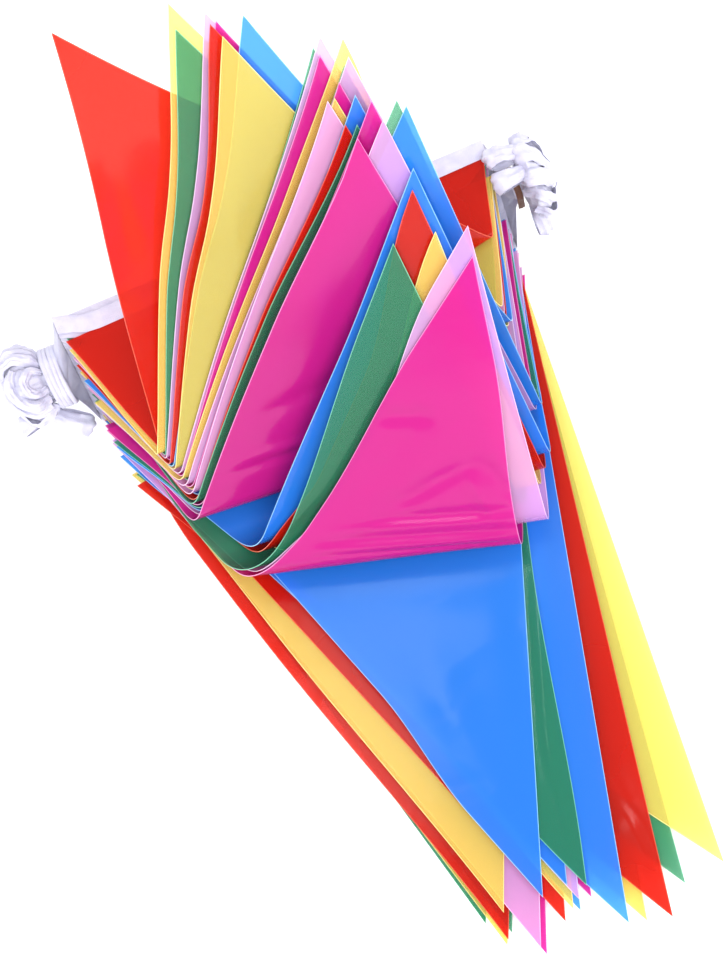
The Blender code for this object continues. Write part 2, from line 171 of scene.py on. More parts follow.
@dataclass(frozen=True)
class FilmFinish:
    """Blown polyethylene film, dyed through: glossy, and clear enough to see what lies behind.

    Each film has two skins, and the light meets both, so a skin has the square root of
    what the whole film lets through.
    """

    tone: Tone
    dye: str  # the light the film sends back
    passed: str  # the tint of the light that comes through
    clear: float  # how much of the light comes through
    edge: str  # a paler colour painted on the cut edge: a painted highlight, where the light piles up

    ROUGHNESS_LOW, ROUGHNESS_HIGH = 0.10, 0.18
    IOR = 1.51  # polyethylene
    SPECULAR = 0.4
    RIPPLE, RIPPLE_DEPTH = 22.0, 0.25  # the film's own faint ripples, from the blowing
    CLOUD = 70.0  # how far apart thicker and thinner places lie
    THICK_SHADE = 0.92
    EDGE_CLOSED = 3.0  # how many times less the cut edge lets through

    def material(self) -> Material:
        """Return the film's material.

        Returns:
            The material: two skins' clearness, dye, ripples and a painted highlight on the cut edges.
        """
        material, tree, surface = new_material(f"polyethylene_film_{self.tone.value}")
        place = add_node(tree, "TexCoord", out="Object")
        cloud = add_node(
            tree, "TexNoise", {"Vector": place, "Scale": per_metre(self.CLOUD), "Detail": 3.0}
        )
        ripple = add_node(
            tree, "TexNoise",
            {"Vector": place, "Scale": per_metre(self.RIPPLE), "Detail": 1.5, "Distortion": 0.6},
        )
        # The cut edge's mask: there the colour pales towards a painted highlight, and less light comes
        # through
        rim = add_node(tree, "Attribute", out="Fac", attribute_name=CUT_EDGE)
        dye = linear(self.dye)
        thick = tuple(self.THICK_SHADE * part for part in dye[:3]) + (1.0,)
        tone = add_node(tree, "Mix", {MIX_SHARE: cloud, MIX_FROM: thick, MIX_TO: dye}, **MIX_COLOURS)
        painted_edge_highlight = {MIX_SHARE: rim, MIX_FROM: tone, MIX_TO: linear(self.edge)}
        rough = {"Value": cloud, "To Min": self.ROUGHNESS_LOW, "To Max": self.ROUGHNESS_HIGH}
        solid = add_node(tree, "BsdfPrincipled", {
            "Base Color": add_node(tree, "Mix", painted_edge_highlight, **MIX_COLOURS),
            "Roughness": add_node(tree, "MapRange", rough),
            "IOR": self.IOR, "Specular IOR Level": self.SPECULAR,
            "Normal": add_node(tree, "Bump", {"Height": ripple, "Distance": self.RIPPLE_DEPTH * MM}),
        })
        skin_clear = math.sqrt(self.clear)
        tint = tuple(math.sqrt(part) for part in linear(self.passed)[:3]) + (1.0,)
        through = add_node(tree, "BsdfTransparent", {"Color": tint})
        share = add_node(
            tree, "MapRange",
            {"Value": rim, "To Min": 1 - skin_clear, "To Max": 1 - skin_clear / self.EDGE_CLOSED},
        )
        tree.links.new(add_node(tree, "MixShader", {0: share, 1: through, 2: solid}), surface)
        return material


@dataclass(frozen=True)
class TapeFinish:
    """Woven polyester tape, bleached: soft and bright, with a fine rib across it."""

    white: str = "D0CFDD"
    # Painted shade: lavender, laid in the rumples' hollows, where less light falls
    painted_shade: str = "A9A8C6"
    ROUGHNESS = 0.62
    IOR = 1.5
    SHEEN, SHEEN_ROUGHNESS = 0.15, 0.4
    THREAD = 0.9  # real threads are 0.2 mm apart; drawn coarser, so that the weave shows at all
    THREAD_DEPTH = 0.07
    THREAD_WANDER = 0.4
    RUMPLE, RUMPLE_DEPTH = 5.0, 0.5

    def material(self) -> Material:
        """Return the tape's material.

        Returns:
            The material: threads both ways on a softly rumpled face, with painted lavender shade in
                its hollows.
        """
        material, tree, surface = new_material("woven_polyester_tape")
        across = add_node(tree, "UVMap", uv_map=TAPE_GRAIN)
        place = add_node(tree, "TexCoord", out="Object")
        # A wave texture's phase grows by 20 for each of its own units
        scale = math.tau / 20 / (self.THREAD * MM)
        bands = {"Vector": across, "Scale": scale, "Distortion": self.THREAD_WANDER}
        warp, weft = (add_node(tree, "TexWave", bands, "Fac", bands_direction=way) for way in "XY")
        threads = add_node(tree, "Math", {0: warp, 1: weft}, operation="MAXIMUM")
        rumple = add_node(
            tree, "TexNoise", {"Vector": place, "Scale": per_metre(self.RUMPLE), "Detail": 4.0}
        )
        # Painted shade where the rumple is low, the same noise that sinks the face in its bump
        tones = {MIX_SHARE: rumple, MIX_FROM: linear(self.painted_shade), MIX_TO: linear(self.white)}
        coarse = add_node(tree, "Bump", {"Height": rumple, "Distance": self.RUMPLE_DEPTH * MM})
        fine = {"Height": threads, "Distance": self.THREAD_DEPTH * MM, "Normal": coarse}
        solid = add_node(tree, "BsdfPrincipled", {
            "Base Color": add_node(tree, "Mix", tones, **MIX_COLOURS),
            "Roughness": self.ROUGHNESS, "IOR": self.IOR,
            "Sheen Weight": self.SHEEN, "Sheen Roughness": self.SHEEN_ROUGHNESS,
            "Normal": add_node(tree, "Bump", fine),
        })
        tree.links.new(solid, surface)
        return material


@dataclass(frozen=True)
class TieFinish:
    """Brown kraft paper pressed round a wire: dull, with a fibrous, wrinkled face."""

    brown: str = "6E3F26"
    dark: str = "3C2013"
    ROUGHNESS = 0.6
    WRINKLE, WRINKLE_DEPTH = 1.6, 0.3

    def material(self) -> Material:
        """Return the tie's material.

        Returns:
            The material: brown paper, darker in its wrinkles.
        """
        material, tree, surface = new_material("kraft_paper_tie")
        place = add_node(tree, "TexCoord", out="Object")
        wrinkle = add_node(
            tree, "TexNoise", {"Vector": place, "Scale": per_metre(self.WRINKLE), "Detail": 5.0}
        )
        tones = {MIX_SHARE: wrinkle, MIX_FROM: linear(self.dark), MIX_TO: linear(self.brown)}
        solid = add_node(tree, "BsdfPrincipled", {
            "Base Color": add_node(tree, "Mix", tones, **MIX_COLOURS), "Roughness": self.ROUGHNESS,
            "Normal": add_node(tree, "Bump", {"Height": wrinkle, "Distance": self.WRINKLE_DEPTH * MM}),
        })
        tree.links.new(solid, surface)
        return material


# Each film's edge colour is a painted highlight on its cut edges
FILMS = (
    FilmFinish(RED, dye="D02210", passed="EC4030", clear=0.32, edge="E86850"),
    FilmFinish(YELLOW, dye="E9D272", passed="FFFAA0", clear=0.42, edge="F8ECA4"),
    FilmFinish(GREEN, dye="26785A", passed="B4F8D0", clear=0.26, edge="7CC8A8"),
    FilmFinish(BLUE, dye="2E82E6", passed="78CCFF", clear=0.28, edge="9CD4FA"),
    FilmFinish(PINK, dye="E2B2E4", passed="F2CCF4", clear=0.42, edge="F4D8F6"),
    FilmFinish(MAGENTA, dye="D62698", passed="DC4CAC", clear=0.30, edge="F49CD4"),
)


# ---------------- meshes

FLOOR_GAP = 0.08  # the lowest tapes lie flat on the surface


def swept(rings: int, sides: int, closed: bool = False, first: int = 0) -> list[list[int]]:
    """Return the faces of a run of rings of points.

    Args:
        rings: How many rings there are.
        sides: How many points each ring has.
        closed: Whether the run closes on itself; else it gets two flat ends.
        first: The first point's number.

    Returns:
        The faces, as lists of point numbers.
    """
    faces = []
    for ring in range(rings if closed else rings - 1):
        low, high = first + ring * sides, first + (ring + 1) % rings * sides
        for side in range(sides):
            after = (side + 1) % sides
            faces.append([low + side, low + after, high + after, high + side])
    if not closed:
        faces.append([first + side for side in reversed(range(sides))])
        faces.append([first + (rings - 1) * sides + side for side in range(sides)])
    return faces


def add_object(name: str, data: ID) -> Object:
    """Add an object that has this data to the scene."""
    item = bpy.data.objects.new(name, data)
    bpy.context.scene.collection.objects.link(item)
    return item


@dataclass
class MeshDraft:
    """Points and faces gathered for one piece."""

    points: list[Vector] = field(default_factory=list)
    faces: list[list[int]] = field(default_factory=list)
    grain: list[Pair] = field(default_factory=list)
    rims: list[float] = field(default_factory=list)

    def add_rings(self, rings: Sequence[Sequence[Vector]], closed: bool = False) -> None:
        """Add one swept body, whose rings have the same number of points.

        Args:
            rings: The rings of points, in millimetres.
            closed: Whether the body closes on itself.
        """
        sides = len(rings[0])
        self.faces += swept(len(rings), sides, closed, len(self.points))
        along = 0.0
        for number, ring in enumerate(rings):
            if number:
                along += (ring[0] - rings[number - 1][0]).length
            round_ring = 0.0
            for side, point in enumerate(ring):
                if side:
                    round_ring += (point - ring[side - 1]).length
                self.points.append(point)
                self.grain.append((round_ring * MM, along * MM))

    def piece(
        self, name: str, material: Material, node: str, smooth: float = 35.0
    ) -> Object:
        """Make the piece's object, in metres, with its normals out.

        Args:
            name: The object's name.
            material: The material it wears.
            node: The solid it replaces.
            smooth: Edges sharper than this angle stay sharp.

        Returns:
            The object, riding on the bundle's one body.
        """
        mesh = bpy.data.meshes.new(name)
        for point in self.points:
            point.z = max(point.z, FLOOR_GAP)
        mesh.from_pydata([(point - ORIGIN) * MM for point in self.points], [], self.faces)
        if self.rims:
            mark = mesh.attributes.new(CUT_EDGE, "FLOAT", "POINT")
            mark.data.foreach_set("value", self.rims)
        if self.grain:
            layer = mesh.uv_layers.new(name=TAPE_GRAIN)
            for loop in mesh.loops:
                layer.data[loop.index].uv = self.grain[loop.vertex_index]
        shape = bmesh.new()
        shape.from_mesh(mesh)
        bmesh.ops.recalc_face_normals(shape, faces=shape.faces)
        shape.to_mesh(mesh)
        shape.free()
        mesh.shade_smooth()
        mesh.set_sharp_from_angle(angle=math.radians(smooth))
        mesh.materials.append(material)
        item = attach(add_object(name, mesh), "root")
        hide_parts(node)
        return item


def bell(distance: float, width: float) -> float:
    """Return a soft bump's height, from 1 in its middle to 0 far from it."""
    return math.exp(-((distance / width) ** 2))


def ease(value: float, low: float, high: float) -> float:
    """Return 0 below low, 1 above high, and a smooth change between them."""
    share = min(max((value - low) / (high - low), 0.0), 1.0)
    return share * share * (3 - 2 * share)


def uneven(x: float, y: float = 0.0, z: float = 0.0) -> float:
    """Return a smooth random value from -1 to 1, the same each time for a place."""
    return noise.noise(Vector((x, y, z)))


def mix(low: float, high: float, share: float) -> float:
    """Return what lies a share of the way from low to high."""
    return low + (high - low) * share


def powered(wave: float, power: float) -> float:
    """Raise a sine or cosine to a power without losing its sign."""
    return math.copysign(abs(wave) ** power, wave)


# ---------------- the stack of films


@dataclass(frozen=True)
class Fold:
    """Where a film folds: its distance from the tape at the left and right, and its rise."""

    layer: int
    left: float
    right: float
    rise: float


@dataclass(frozen=True)
class Place:
    """How a pennant lies in the stack: its tone, its swing about a hank and its slip."""

    tone: Tone
    swing: float
    slip: float


FOLD_REACH = 60.0
INNER_RADIUS = 3.0
RADIUS_STEP = 0.45
LOWER_SHARE = 0.55
SWAY_LOW, SWAY_MIDDLE, SWAY_TIP = -7.0, 2.0, -8.0
OUTER_SWAY = 0.3

# Film is thinner than the solids, so the inner films' folds nest closer than theirs
NEST_MIDDLE, NEST_LAST = 12, 24
NEST_STEP = 0.5
NEST_REACH = 45.0  # whole from here down
NEST_EVEN = 1.15  # and dying out to the tip, from a little past the fold

FOLDS = table(
    Fold,
    (0, 54.2, 33.2, 74.8), (1, 58.6, 57.8, 72.8), (7, 63.9, 63.2, 73.0), (8, 65.5, 74.4, 70.8),
    (16, 72.8, 83.6, 70.4), (24, 80.2, 91.6, 70.1), (25, 92.8, 103.4, 66.9), (28, 99.0, 118.5, 63.5),
    (30, 100.2, 135.5, 59.0),
)


# From the top of the stack down
RAISED = table(
    Place,
    (RED, 1.5, -1.0), (YELLOW, 0.0, 7.5), (GREEN, -0.25, -1.0), (PINK, 2.25, 2.0),
    (MAGENTA, 2.75, -0.5), (RED, 2.25, 4.0), (BLUE, 4.75, 2.5), (YELLOW, 2.75, 4.0),
    (GREEN, 4.25, -6.5), (PINK, 4.75, 2.0), (MAGENTA, 4.25, -2.0), (YELLOW, 6.0, 5.0),
    (GREEN, 5.5, -3.0), (PINK, 5.75, 5.0), (MAGENTA, 4.5, 0.0), (YELLOW, 3.75, -1.5), (PINK, 3.0, 3.5),
    (BLUE, 5.0, 4.5), (RED, 3.75, -3.0), (GREEN, 4.5, -1.0), (MAGENTA, 5.75, 12.0), (GREEN, 7.5, 11.5),
    (BLUE, 8.0, 11.5), (PINK, 6.0, 14.0), (MAGENTA, 3.75, 15.5), (BLUE, 7.5, 7.0), (RED, 5.75, 7.5),
    (YELLOW, 5.75, -6.5), (GREEN, 1.0, 6.5), (PINK, 3.25, 19.5), (MAGENTA, 0.25, 20.0),
)
LAID = table(
    Place,
    (BLUE, 0.0, 0.0), (GREEN, 3.75, -4.0), (BLUE, 5.75, 14.5), (BLUE, 2.25, -6.0), (PINK, 2.75, 0.0),
    (YELLOW, 2.0, 3.5), (BLUE, 2.5, 4.0), (MAGENTA, 3.75, -2.0), (RED, 1.0, 7.0),
    (YELLOW, -3.5, -11.0), (PINK, -1.75, 11.0), (RED, 9.25, 10.5), (MAGENTA, -1.5, 14.0),
    (YELLOW, 14.75, -7.5), (GREEN, 11.25, -4.0), (RED, -4.0, -3.5), (GREEN, -3.5, -5.5),
    (YELLOW, 7.25, 6.5), (YELLOW, -4.25, -3.5), (GREEN, -5.25, -17.5),
)
PLACES = (*RAISED, *LAID)
LAYERS = len(PLACES)
STACK_TOP = LAYERS * PITCH - AIR


def layer_height(layer: int) -> float:
    """Return the height of a layer's mid-surface."""
    return (LAYERS - 1 - layer) * PITCH + SHEET / 2


def fold_value(layer: int, name: str) -> float:
    """Read one field of the folds at a layer, sharing the change between rows evenly.

    Args:
        layer: The film's layer.
        name: The field's name.

    Returns:
        The value there.
    """
    for low, high in zip(FOLDS, FOLDS[1:]):
        if layer <= high.layer:
            share = (layer - low.layer) / (high.layer - low.layer)
            return mix(getattr(low, name), getattr(high, name), share)
    return getattr(FOLDS[-1], name)


class Bend:
    """The surface of one folded film: flat, then round the fold, then up with a sway."""

    def __init__(self, layer: int) -> None:
        """Work out the fold line and the three stretches past it.

        Args:
            layer: The film's layer.
        """
        left, right, rise = (fold_value(layer, name) for name in ("left", "right", "rise"))
        slope = math.atan2(left - right, 2 * FOLD_REACH)
        self.along = Vector((math.cos(slope), math.sin(slope)))
        self.ahead = Vector((math.sin(slope), -math.cos(slope)))
        self.start = Vector((0.0, -(left + right) / 2 - LEAN * layer))
        self.height = layer_height(layer)
        radius = INNER_RADIUS + RADIUS_STEP * layer
        sway = 1 + (OUTER_SWAY - 1) * layer / (len(RAISED) - 1)
        low, middle, tip = (
            math.radians(180.0 - rise - sway * part) for part in (SWAY_LOW, SWAY_MIDDLE, SWAY_TIP)
        )
        turn = radius * low
        run = PENNANT_DROP - (left + right) / 2 - turn
        lower = LOWER_SHARE * run
        self.stretches = ((turn, 0.0, low), (lower, low, middle), (run - lower, middle, tip))

    def profile(self, reach: float) -> Triple:
        """Follow the film past its fold.

        Args:
            reach: The way along the film past the fold.

        Returns:
            The way forward, the way up and the film's angle there, in radians.
        """
        if reach <= 0:
            return reach, 0.0, 0.0
        forward = up = angle = 0.0
        for number, (length, begin, end) in enumerate(self.stretches, 1):
            part = reach if number == len(self.stretches) else min(reach, length)
            curve = (end - begin) / length
            angle = begin + curve * part
            forward += (math.sin(angle) - math.sin(begin)) / curve
            up += (math.cos(begin) - math.cos(angle)) / curve
            reach -= part
            if reach <= 0:
                break
        return forward, up, angle


@dataclass(frozen=True)
class Crease:
    """One soft ridge (or trough, where its height is negative) across a film's cut.

    Its two ends are given as the way across and down from the middle of the top edge.
    """

    across: float
    down: float
    end_across: float
    end_down: float
    height: float
    width: float

    SWELLS, SINKS = (-0.15, 0.3), (0.7, 1.15)  # over these shares of its length

    def lift(self, across: float, down: float) -> float:
        """Return how far the crease lifts the film at a place.

        Args:
            across: The way across the cut, from its middle.
            down: The way down it from the top edge.

        Returns:
            The lift, below 0 in a trough.
        """
        way_x, way_y = self.end_across - self.across, self.end_down - self.down
        x, y = across - self.across, down - self.down
        share = (x * way_x + y * way_y) / (way_x * way_x + way_y * way_y)
        held = min(max(share, 0.0), 1.0)
        off = math.hypot(x - held * way_x, y - held * way_y)
        bump = self.height * bell(off, self.width)
        return bump * ease(share, *self.SWELLS) * (1 - ease(share, *self.SINKS))


@dataclass(frozen=True)
class Drift:
    """How far a film's two long edges are drawn sideways, and where along it that dies out."""

    left: float
    right: float = 0.0
    flat: float | None = None  # the left edge's own shift nearer the tape
    turn_from: float = 92.0
    turn_to: float = 138.0
    fade_from: float = 190.0
    fade_to: float = 288.0

    HELD = (15.0, 80.0)  # the tape holds the film, less and less down to here

    def shift(self, share: float, down: float) -> float:
        """Return the sideways shift at a share of the way across and a distance down.

        Args:
            share: The share of the way from the left edge to the right one.
            down: The way down from the top edge.

        Returns:
            The shift to the right.
        """
        left = self.left
        if self.flat is not None:
            left = mix(self.flat, self.left, ease(down, self.turn_from, self.turn_to))
        held = ease(down, *self.HELD) * (1 - ease(down, self.fade_from, self.fade_to))
        return held * (left * (1 - share) + self.right * share)


# The middle films crowd to the left past their folds
CROWDING, CROWD_FROM, CROWD_TO = -6.5, 7, 24


def late_bulge(left: float) -> Drift:
    """Return the drift of an upper film, whose left edge bulges only high above its fold."""
    return Drift(left, flat=0.0, turn_from=150.0, turn_to=205.0, fade_from=215.0)


DRIFTS = {
    1: late_bulge(1.8), 2: late_bulge(1.8), 3: late_bulge(1.8), 4: late_bulge(2.5),
    5: late_bulge(3.5), 6: late_bulge(2.5), 7: late_bulge(2.2),
    10: Drift(-2.6), 11: Drift(-1.5, right=-5.0, fade_from=225.0),
    17: Drift(-0.3), 18: Drift(-6.6), 19: Drift(-8.0), 20: Drift(-1.0),
    21: Drift(-2.0), 22: Drift(-2.5), 23: Drift(-3.0),
    25: Drift(1.5),
    26: Drift(13.0, flat=2.5),
    27: Drift(12.5, flat=5.0),
    28: Drift(5.0, flat=-7.0, fade_from=150.0, fade_to=250.0),
    29: Drift(12.0, flat=1.5, fade_from=170.0, fade_to=260.0),
    30: Drift(6.5, right=-6.0, flat=-0.5, fade_from=150.0, fade_to=245.0),
    31: Drift(6.2, fade_from=180.0, fade_to=245.0),
    32: Drift(6.0, right=-6.0, fade_from=150.0, fade_to=280.0),
    33: Drift(6.5, fade_from=185.0, fade_to=260.0),
    34: Drift(4.0), 35: Drift(5.0), 36: Drift(7.0), 37: Drift(7.0), 38: Drift(5.0), 39: Drift(1.2),
    40: Drift(-4.0, fade_from=140.0, fade_to=285.0),
    43: Drift(1.5),
    46: Drift(-6.0, fade_from=120.0, fade_to=285.0),
}


def film_drift(layer: int) -> Drift:
    """Return a film's drift: the middle ones crowd to the left, the outer ones stand apart."""
    crowd = max((layer - CROWD_FROM) / (CROWD_TO - CROWD_FROM), 0.0) if layer <= CROWD_TO else 0.0
    return DRIFTS.get(layer, Drift(CROWDING * crowd))


@dataclass
class FilmPiece:
    """One pennant of film: its place in the stack and the mesh that follows it."""

    layer: int
    place: Place
    creases: tuple[Crease, ...] = ()
    thickness: float = 0.35  # real film is a tenth of this; it is drawn thicker so its edge shows
    rim: float = 0.45
    columns: int = 24
    fineness: int = 1  # how many times the rows and columns are parted
    wave: float = 1.0

    FREE = (4.0, 60.0)  # the tape holds the film, less and less down to here
    # Each wave's height, its lengths along and across, its change from film to film and its start
    WAVES = ((0.8, 38, 55, 0.05, 0.0), (0.5, 23, -31, 0.04, 1.0))
    NARROWEST = 0.05
    RIM_SHARE = 0.22
    TIP_GAP = 1.6  # the last row's distance from the tip

    def name(self, kind: str) -> str:
        """Return the name of the film, or of the solid it replaces."""
        return f"{kind}_{self.layer + 1:02d}_{self.place.tone.value}"

    def plan(self, across: float, down: float) -> Vector:
        """Return where a place of the cut lies in plan.

        Args:
            across: The way across the cut, from its middle.
            down: The way down it from the top edge.

        Returns:
            The place, swung about its hank and slipped.
        """
        pivot = HALF_WIDTH if self.place.swing > 0 else -HALF_WIDTH
        turn = math.radians(self.place.swing)
        x = pivot + (across - pivot) * math.cos(turn) + down * math.sin(turn)
        y = (across - pivot) * math.sin(turn) - down * math.cos(turn)
        return Vector((x, y - self.place.slip - LEAN * self.layer))

    def surface(self, across: float, down: float) -> tuple[Vector, Vector]:
        """Return the mid-surface's point and its normal at a place of the cut."""
        raise NotImplementedError

    def levels(self) -> list[Pair]:
        """Return the rows, as shares of the way down the left and the right long edge."""
        raise NotImplementedError

    def ground(self, across: float, down: float) -> Pair:
        """Return the two coordinates of a place that neighbouring films share."""
        plan = self.plan(across, down)
        return plan.x, -plan.y

    def relief(self, across: float, down: float) -> float:
        """Return how far the film stands off its plain surface at a place of the cut.

        The waves are read from shared coordinates, so that no film comes through the next one.

        Args:
            across: The way across the cut, from its middle.
            down: The way down it from the top edge.

        Returns:
            The distance along the surface's normal.
        """
        side, far = self.ground(across, down)
        slow = self.wave * sum(
            height * math.sin(far / long + side / wide + change * self.layer + start)
            for height, long, wide, change, start in self.WAVES
        )
        creased = sum(crease.lift(across, down) for crease in self.creases)
        return ease(down, *self.FREE) * slow + creased

    def build(self, material: Material) -> Object:
        """Make the film's mesh from rows of point pairs, one for each skin.

        Args:
            material: The film's material.

        Returns:
            The film's object.
        """
        draft = MeshDraft()
        drift = film_drift(self.layer)
        columns = self.columns * self.fineness
        index: list[list[int]] = []
        for left_share, right_share in self.levels():
            left = Vector((-HALF_WIDTH * (1 - left_share), PENNANT_DROP * left_share))
            right = Vector((HALF_WIDTH * (1 - right_share), PENNANT_DROP * right_share))
            span = (right - left).length
            if span < self.NARROWEST:
                shares = [0.5]
            else:
                rim = min(self.rim / span, self.RIM_SHARE)
                inner = [rim + (1 - 2 * rim) * step / columns for step in range(columns + 1)]
                shares = [0.0, *inner, 1.0]
            row = []
            for number, share in enumerate(shares):
                at = left.lerp(right, share)
                at.x += drift.shift(share, at.y)
                point, normal = self.surface(at.x, at.y)
                point = point + normal * self.relief(at.x, at.y)
                row.append(len(draft.points))
                skin = normal * self.thickness / 2
                draft.points += [point + skin, point - skin]
                draft.rims += [1.0 if number in (0, len(shares) - 1) else 0.0] * 2
            index.append(row)
        for above, below in zip(index, index[1:]):
            self.join(draft.faces, above, below)
        first = index[0]
        for here, onward in zip(first, first[1:]):
            draft.faces.append([here, onward, onward + 1, here + 1])
        return draft.piece(self.name("film"), material, self.name("pennant"))

    @staticmethod
    def join(faces: list[list[int]], above: list[int], below: list[int]) -> None:
        """Add the faces between two rows: both skins and the two cut edges.

        Args:
            faces: Where the faces go.
            above: The upper row's points.
            below: The lower row's points, or the tip's one.
        """
        last = len(below) - 1
        for step in range(len(above) - 1):
            ring = [above[step], above[step + 1]]
            ring += [below[step + 1], below[step]] if last else [below[0]]
            faces.append(ring)
            faces.append([corner + 1 for corner in reversed(ring)])
        faces.append([above[0], below[0], below[0] + 1, above[0] + 1])
        faces.append([below[-1], above[-1], above[-1] + 1, below[-1] + 1])


@dataclass
class RaisedFilm(FilmPiece):
    """A pennant folded up and over, in the fan."""

    flat_rows: int = 6
    fold_rows: int = 22
    run_rows: int = 26

    LAST_FULL = 3.0  # the last whole row's distance from the tip

    def __post_init__(self) -> None:
        """Work out the film's bend."""
        self.bend = Bend(self.layer)

    def ground(self, across: float, down: float) -> Pair:
        """Return the way along the fold and the way past it."""
        offset = self.plan(across, down) - self.bend.start
        return offset.dot(self.bend.along), offset.dot(self.bend.ahead)

    def surface(self, across: float, down: float) -> tuple[Vector, Vector]:
        """Return the mid-surface's point and its normal at a place of the cut.

        Args:
            across: The way across the cut, from its middle.
            down: The way down it from the top edge.

        Returns:
            The point and the normal.
        """
        bend = self.bend
        aside, reach = self.ground(across, down)
        forward, up, angle = bend.profile(reach)
        plan = bend.start + bend.along * aside + bend.ahead * forward
        if self.layer <= NEST_LAST:
            left, right = (fold_value(self.layer, name) for name in ("left", "right"))
            rest = PENNANT_DROP - (left + right) / 2
            nest = ease(down, 0.0, NEST_REACH) * min(1.0, NEST_EVEN * (1 - reach / rest))
            plan.y += NEST_STEP * (self.layer - NEST_MIDDLE) * max(nest, 0.0)
        tilt = -math.sin(angle)
        normal = Vector((tilt * bend.ahead.x, tilt * bend.ahead.y, math.cos(angle)))
        return Vector((plan.x, plan.y, bend.height + up)), normal

    def levels(self) -> list[Pair]:
        """Return the rows, which past the fold run along it.

        Returns:
            The rows, from the top edge to the tip.
        """
        bend = self.bend
        begins = [self.ground(across, 0.0)[1] for across in (-HALF_WIDTH, HALF_WIDTH)]
        limit = self.ground(0.0, PENNANT_DROP)[1]
        reaches, done = [0.0], 0.0
        counts = [rows * self.fineness for rows in (self.fold_rows, self.run_rows, self.run_rows)]
        for (length, _, _), rows in zip(bend.stretches, counts):
            reaches += [done + length * step / rows for step in range(1, rows + 1)]
            done += length
        reaches = [reach for reach in reaches if reach < limit - self.LAST_FULL]
        reaches.append(limit - self.TIP_GAP)
        shares = [tuple((reach - begin) / (limit - begin) for begin in begins) for reach in reaches]
        rows = self.flat_rows
        flat = [tuple(share * step / rows for share in shares[0]) for step in range(rows)]
        return [*flat, *shares, (1.0, 1.0)]


@dataclass
class LaidFilm(FilmPiece):
    """A pennant that lies straight on the ones below it, settling lower towards its tip."""

    rows: int = 56
    settle: float = 0.3
    wave: float = 0.35

    SETTLES = (90.0, 300.0)
    FREE_FROM = 6  # the layers below it, for its waves to be whole

    def surface(self, across: float, down: float) -> tuple[Vector, Vector]:
        """Return the mid-surface's point and its normal at a place of the cut."""
        plan = self.plan(across, down)
        height = layer_height(self.layer) * (1 - self.settle * ease(-plan.y, *self.SETTLES))
        return Vector((plan.x, plan.y, height)), Vector((0.0, 0.0, 1.0))

    def relief(self, across: float, down: float) -> float:
        """Return the relief, which dies out towards the lowest film."""
        free = min((LAYERS - 1 - self.layer) / self.FREE_FROM, 1.0)
        return free * super().relief(across, down)

    def levels(self) -> list[Pair]:
        """Return the rows, which run along the top edge."""
        rows = self.rows * self.fineness
        shares = [step / rows for step in range(rows - self.fineness + 1)]
        return [(share, share) for share in (*shares, 1 - self.TIP_GAP / PENNANT_DROP, 1.0)]


# The main creases, by layer
CREASES = {
    0: table(
        Crease,
        (-92.0, 14.0, -40.0, 18.0, 0.9, 5.0), (-88.0, 26.0, -50.0, 24.0, -0.7, 5.0),
        (-40.0, 150.0, -8.0, 250.0, 0.7, 7.0), (20.0, 130.0, 0.0, 245.0, -0.6, 8.0),
    ),
    7: table(
        Crease,
        (-30.0, 120.0, -6.0, 250.0, -0.5, 8.0), (15.0, 110.0, 8.0, 220.0, 0.5, 9.0),
    ),
    24: table(
        Crease,
        (-66.0, 98.0, 0.0, 110.0, 0.8, 2.4), (-62.0, 106.0, 5.0, 118.0, -0.7, 2.8),
        (-50.0, 132.0, -8.0, 152.0, 0.6, 5.0), (-20.0, 140.0, -4.0, 230.0, 0.5, 8.0),
    ),
    28: table(
        Crease,
        (-52.0, 128.0, -30.0, 150.0, 0.8, 4.0), (-34.0, 165.0, -10.0, 235.0, 0.5, 6.0),
    ),
    30: table(
        Crease,
        # Fine folds beside the fold, then the pale fans above them
        (-46.0, 120.0, 44.0, 140.0, 0.6, 1.4), (-44.0, 124.5, 44.0, 144.5, -0.5, 1.6),
        (-42.0, 130.0, 42.0, 149.0, 0.6, 1.8), (-38.0, 137.0, 40.0, 154.0, -0.5, 2.4),
        (-20.0, 146.0, 42.0, 160.0, 0.8, 3.2), (-17.0, 150.0, 20.0, 186.0, 1.0, 5.0),
        (20.0, 186.0, 42.0, 162.0, 1.1, 4.0), (-26.0, 203.0, -3.0, 207.0, 1.0, 4.5),
        (16.0, 178.0, 34.0, 150.0, -0.9, 3.0), (-30.0, 150.0, -4.0, 215.0, 0.6, 7.0),
    ),
    31: table(
        Crease,
        (-44.0, 128.0, 46.0, 158.0, 0.5, 9.0), (-8.0, 165.0, 2.0, 270.0, 0.6, 10.0),
        (40.0, 160.0, 12.0, 262.0, -0.5, 7.0),
    ),
    32: table(
        Crease,
        (43.0, 152.0, 6.0, 243.0, 1.0, 3.0), (13.0, 226.0, 1.0, 276.0, 0.6, 2.2),
    ),
    42: table(
        Crease,
        (8.0, 240.0, 2.0, 278.0, 0.7, 4.0), (14.0, 215.0, 8.0, 262.0, -0.6, 4.5),
    ),
}


@dataclass
class FilmStack:
    """All the pennants of the string, from the top of the stack down."""

    creased: int = 2  # how many times finer a creased film's mesh is

    def film(self, layer: int, place: Place) -> FilmPiece:
        """Return one layer's film."""
        kind = RaisedFilm if layer < len(RAISED) else LaidFilm
        creases = CREASES.get(layer, ())
        return kind(layer, place, creases, fineness=self.creased if creases else 1)

    def build(self) -> list[Object]:
        """Build and dress every pennant, and log how many faces each has.

        Returns:
            The films' objects, from the top down.
        """
        materials = {finish.tone: finish.material() for finish in FILMS}
        films = [self.film(layer, place) for layer, place in enumerate(PLACES)]
        made = []
        for film in films:
            item = film.build(materials[film.place.tone])
            [below.name("film") for below in films[film.layer + 1:film.layer + 2]]
            LOG.info("%s: %d faces", item.name, len(item.data.polygons))
            made.append(item)
        return made


# ---------------- the tape


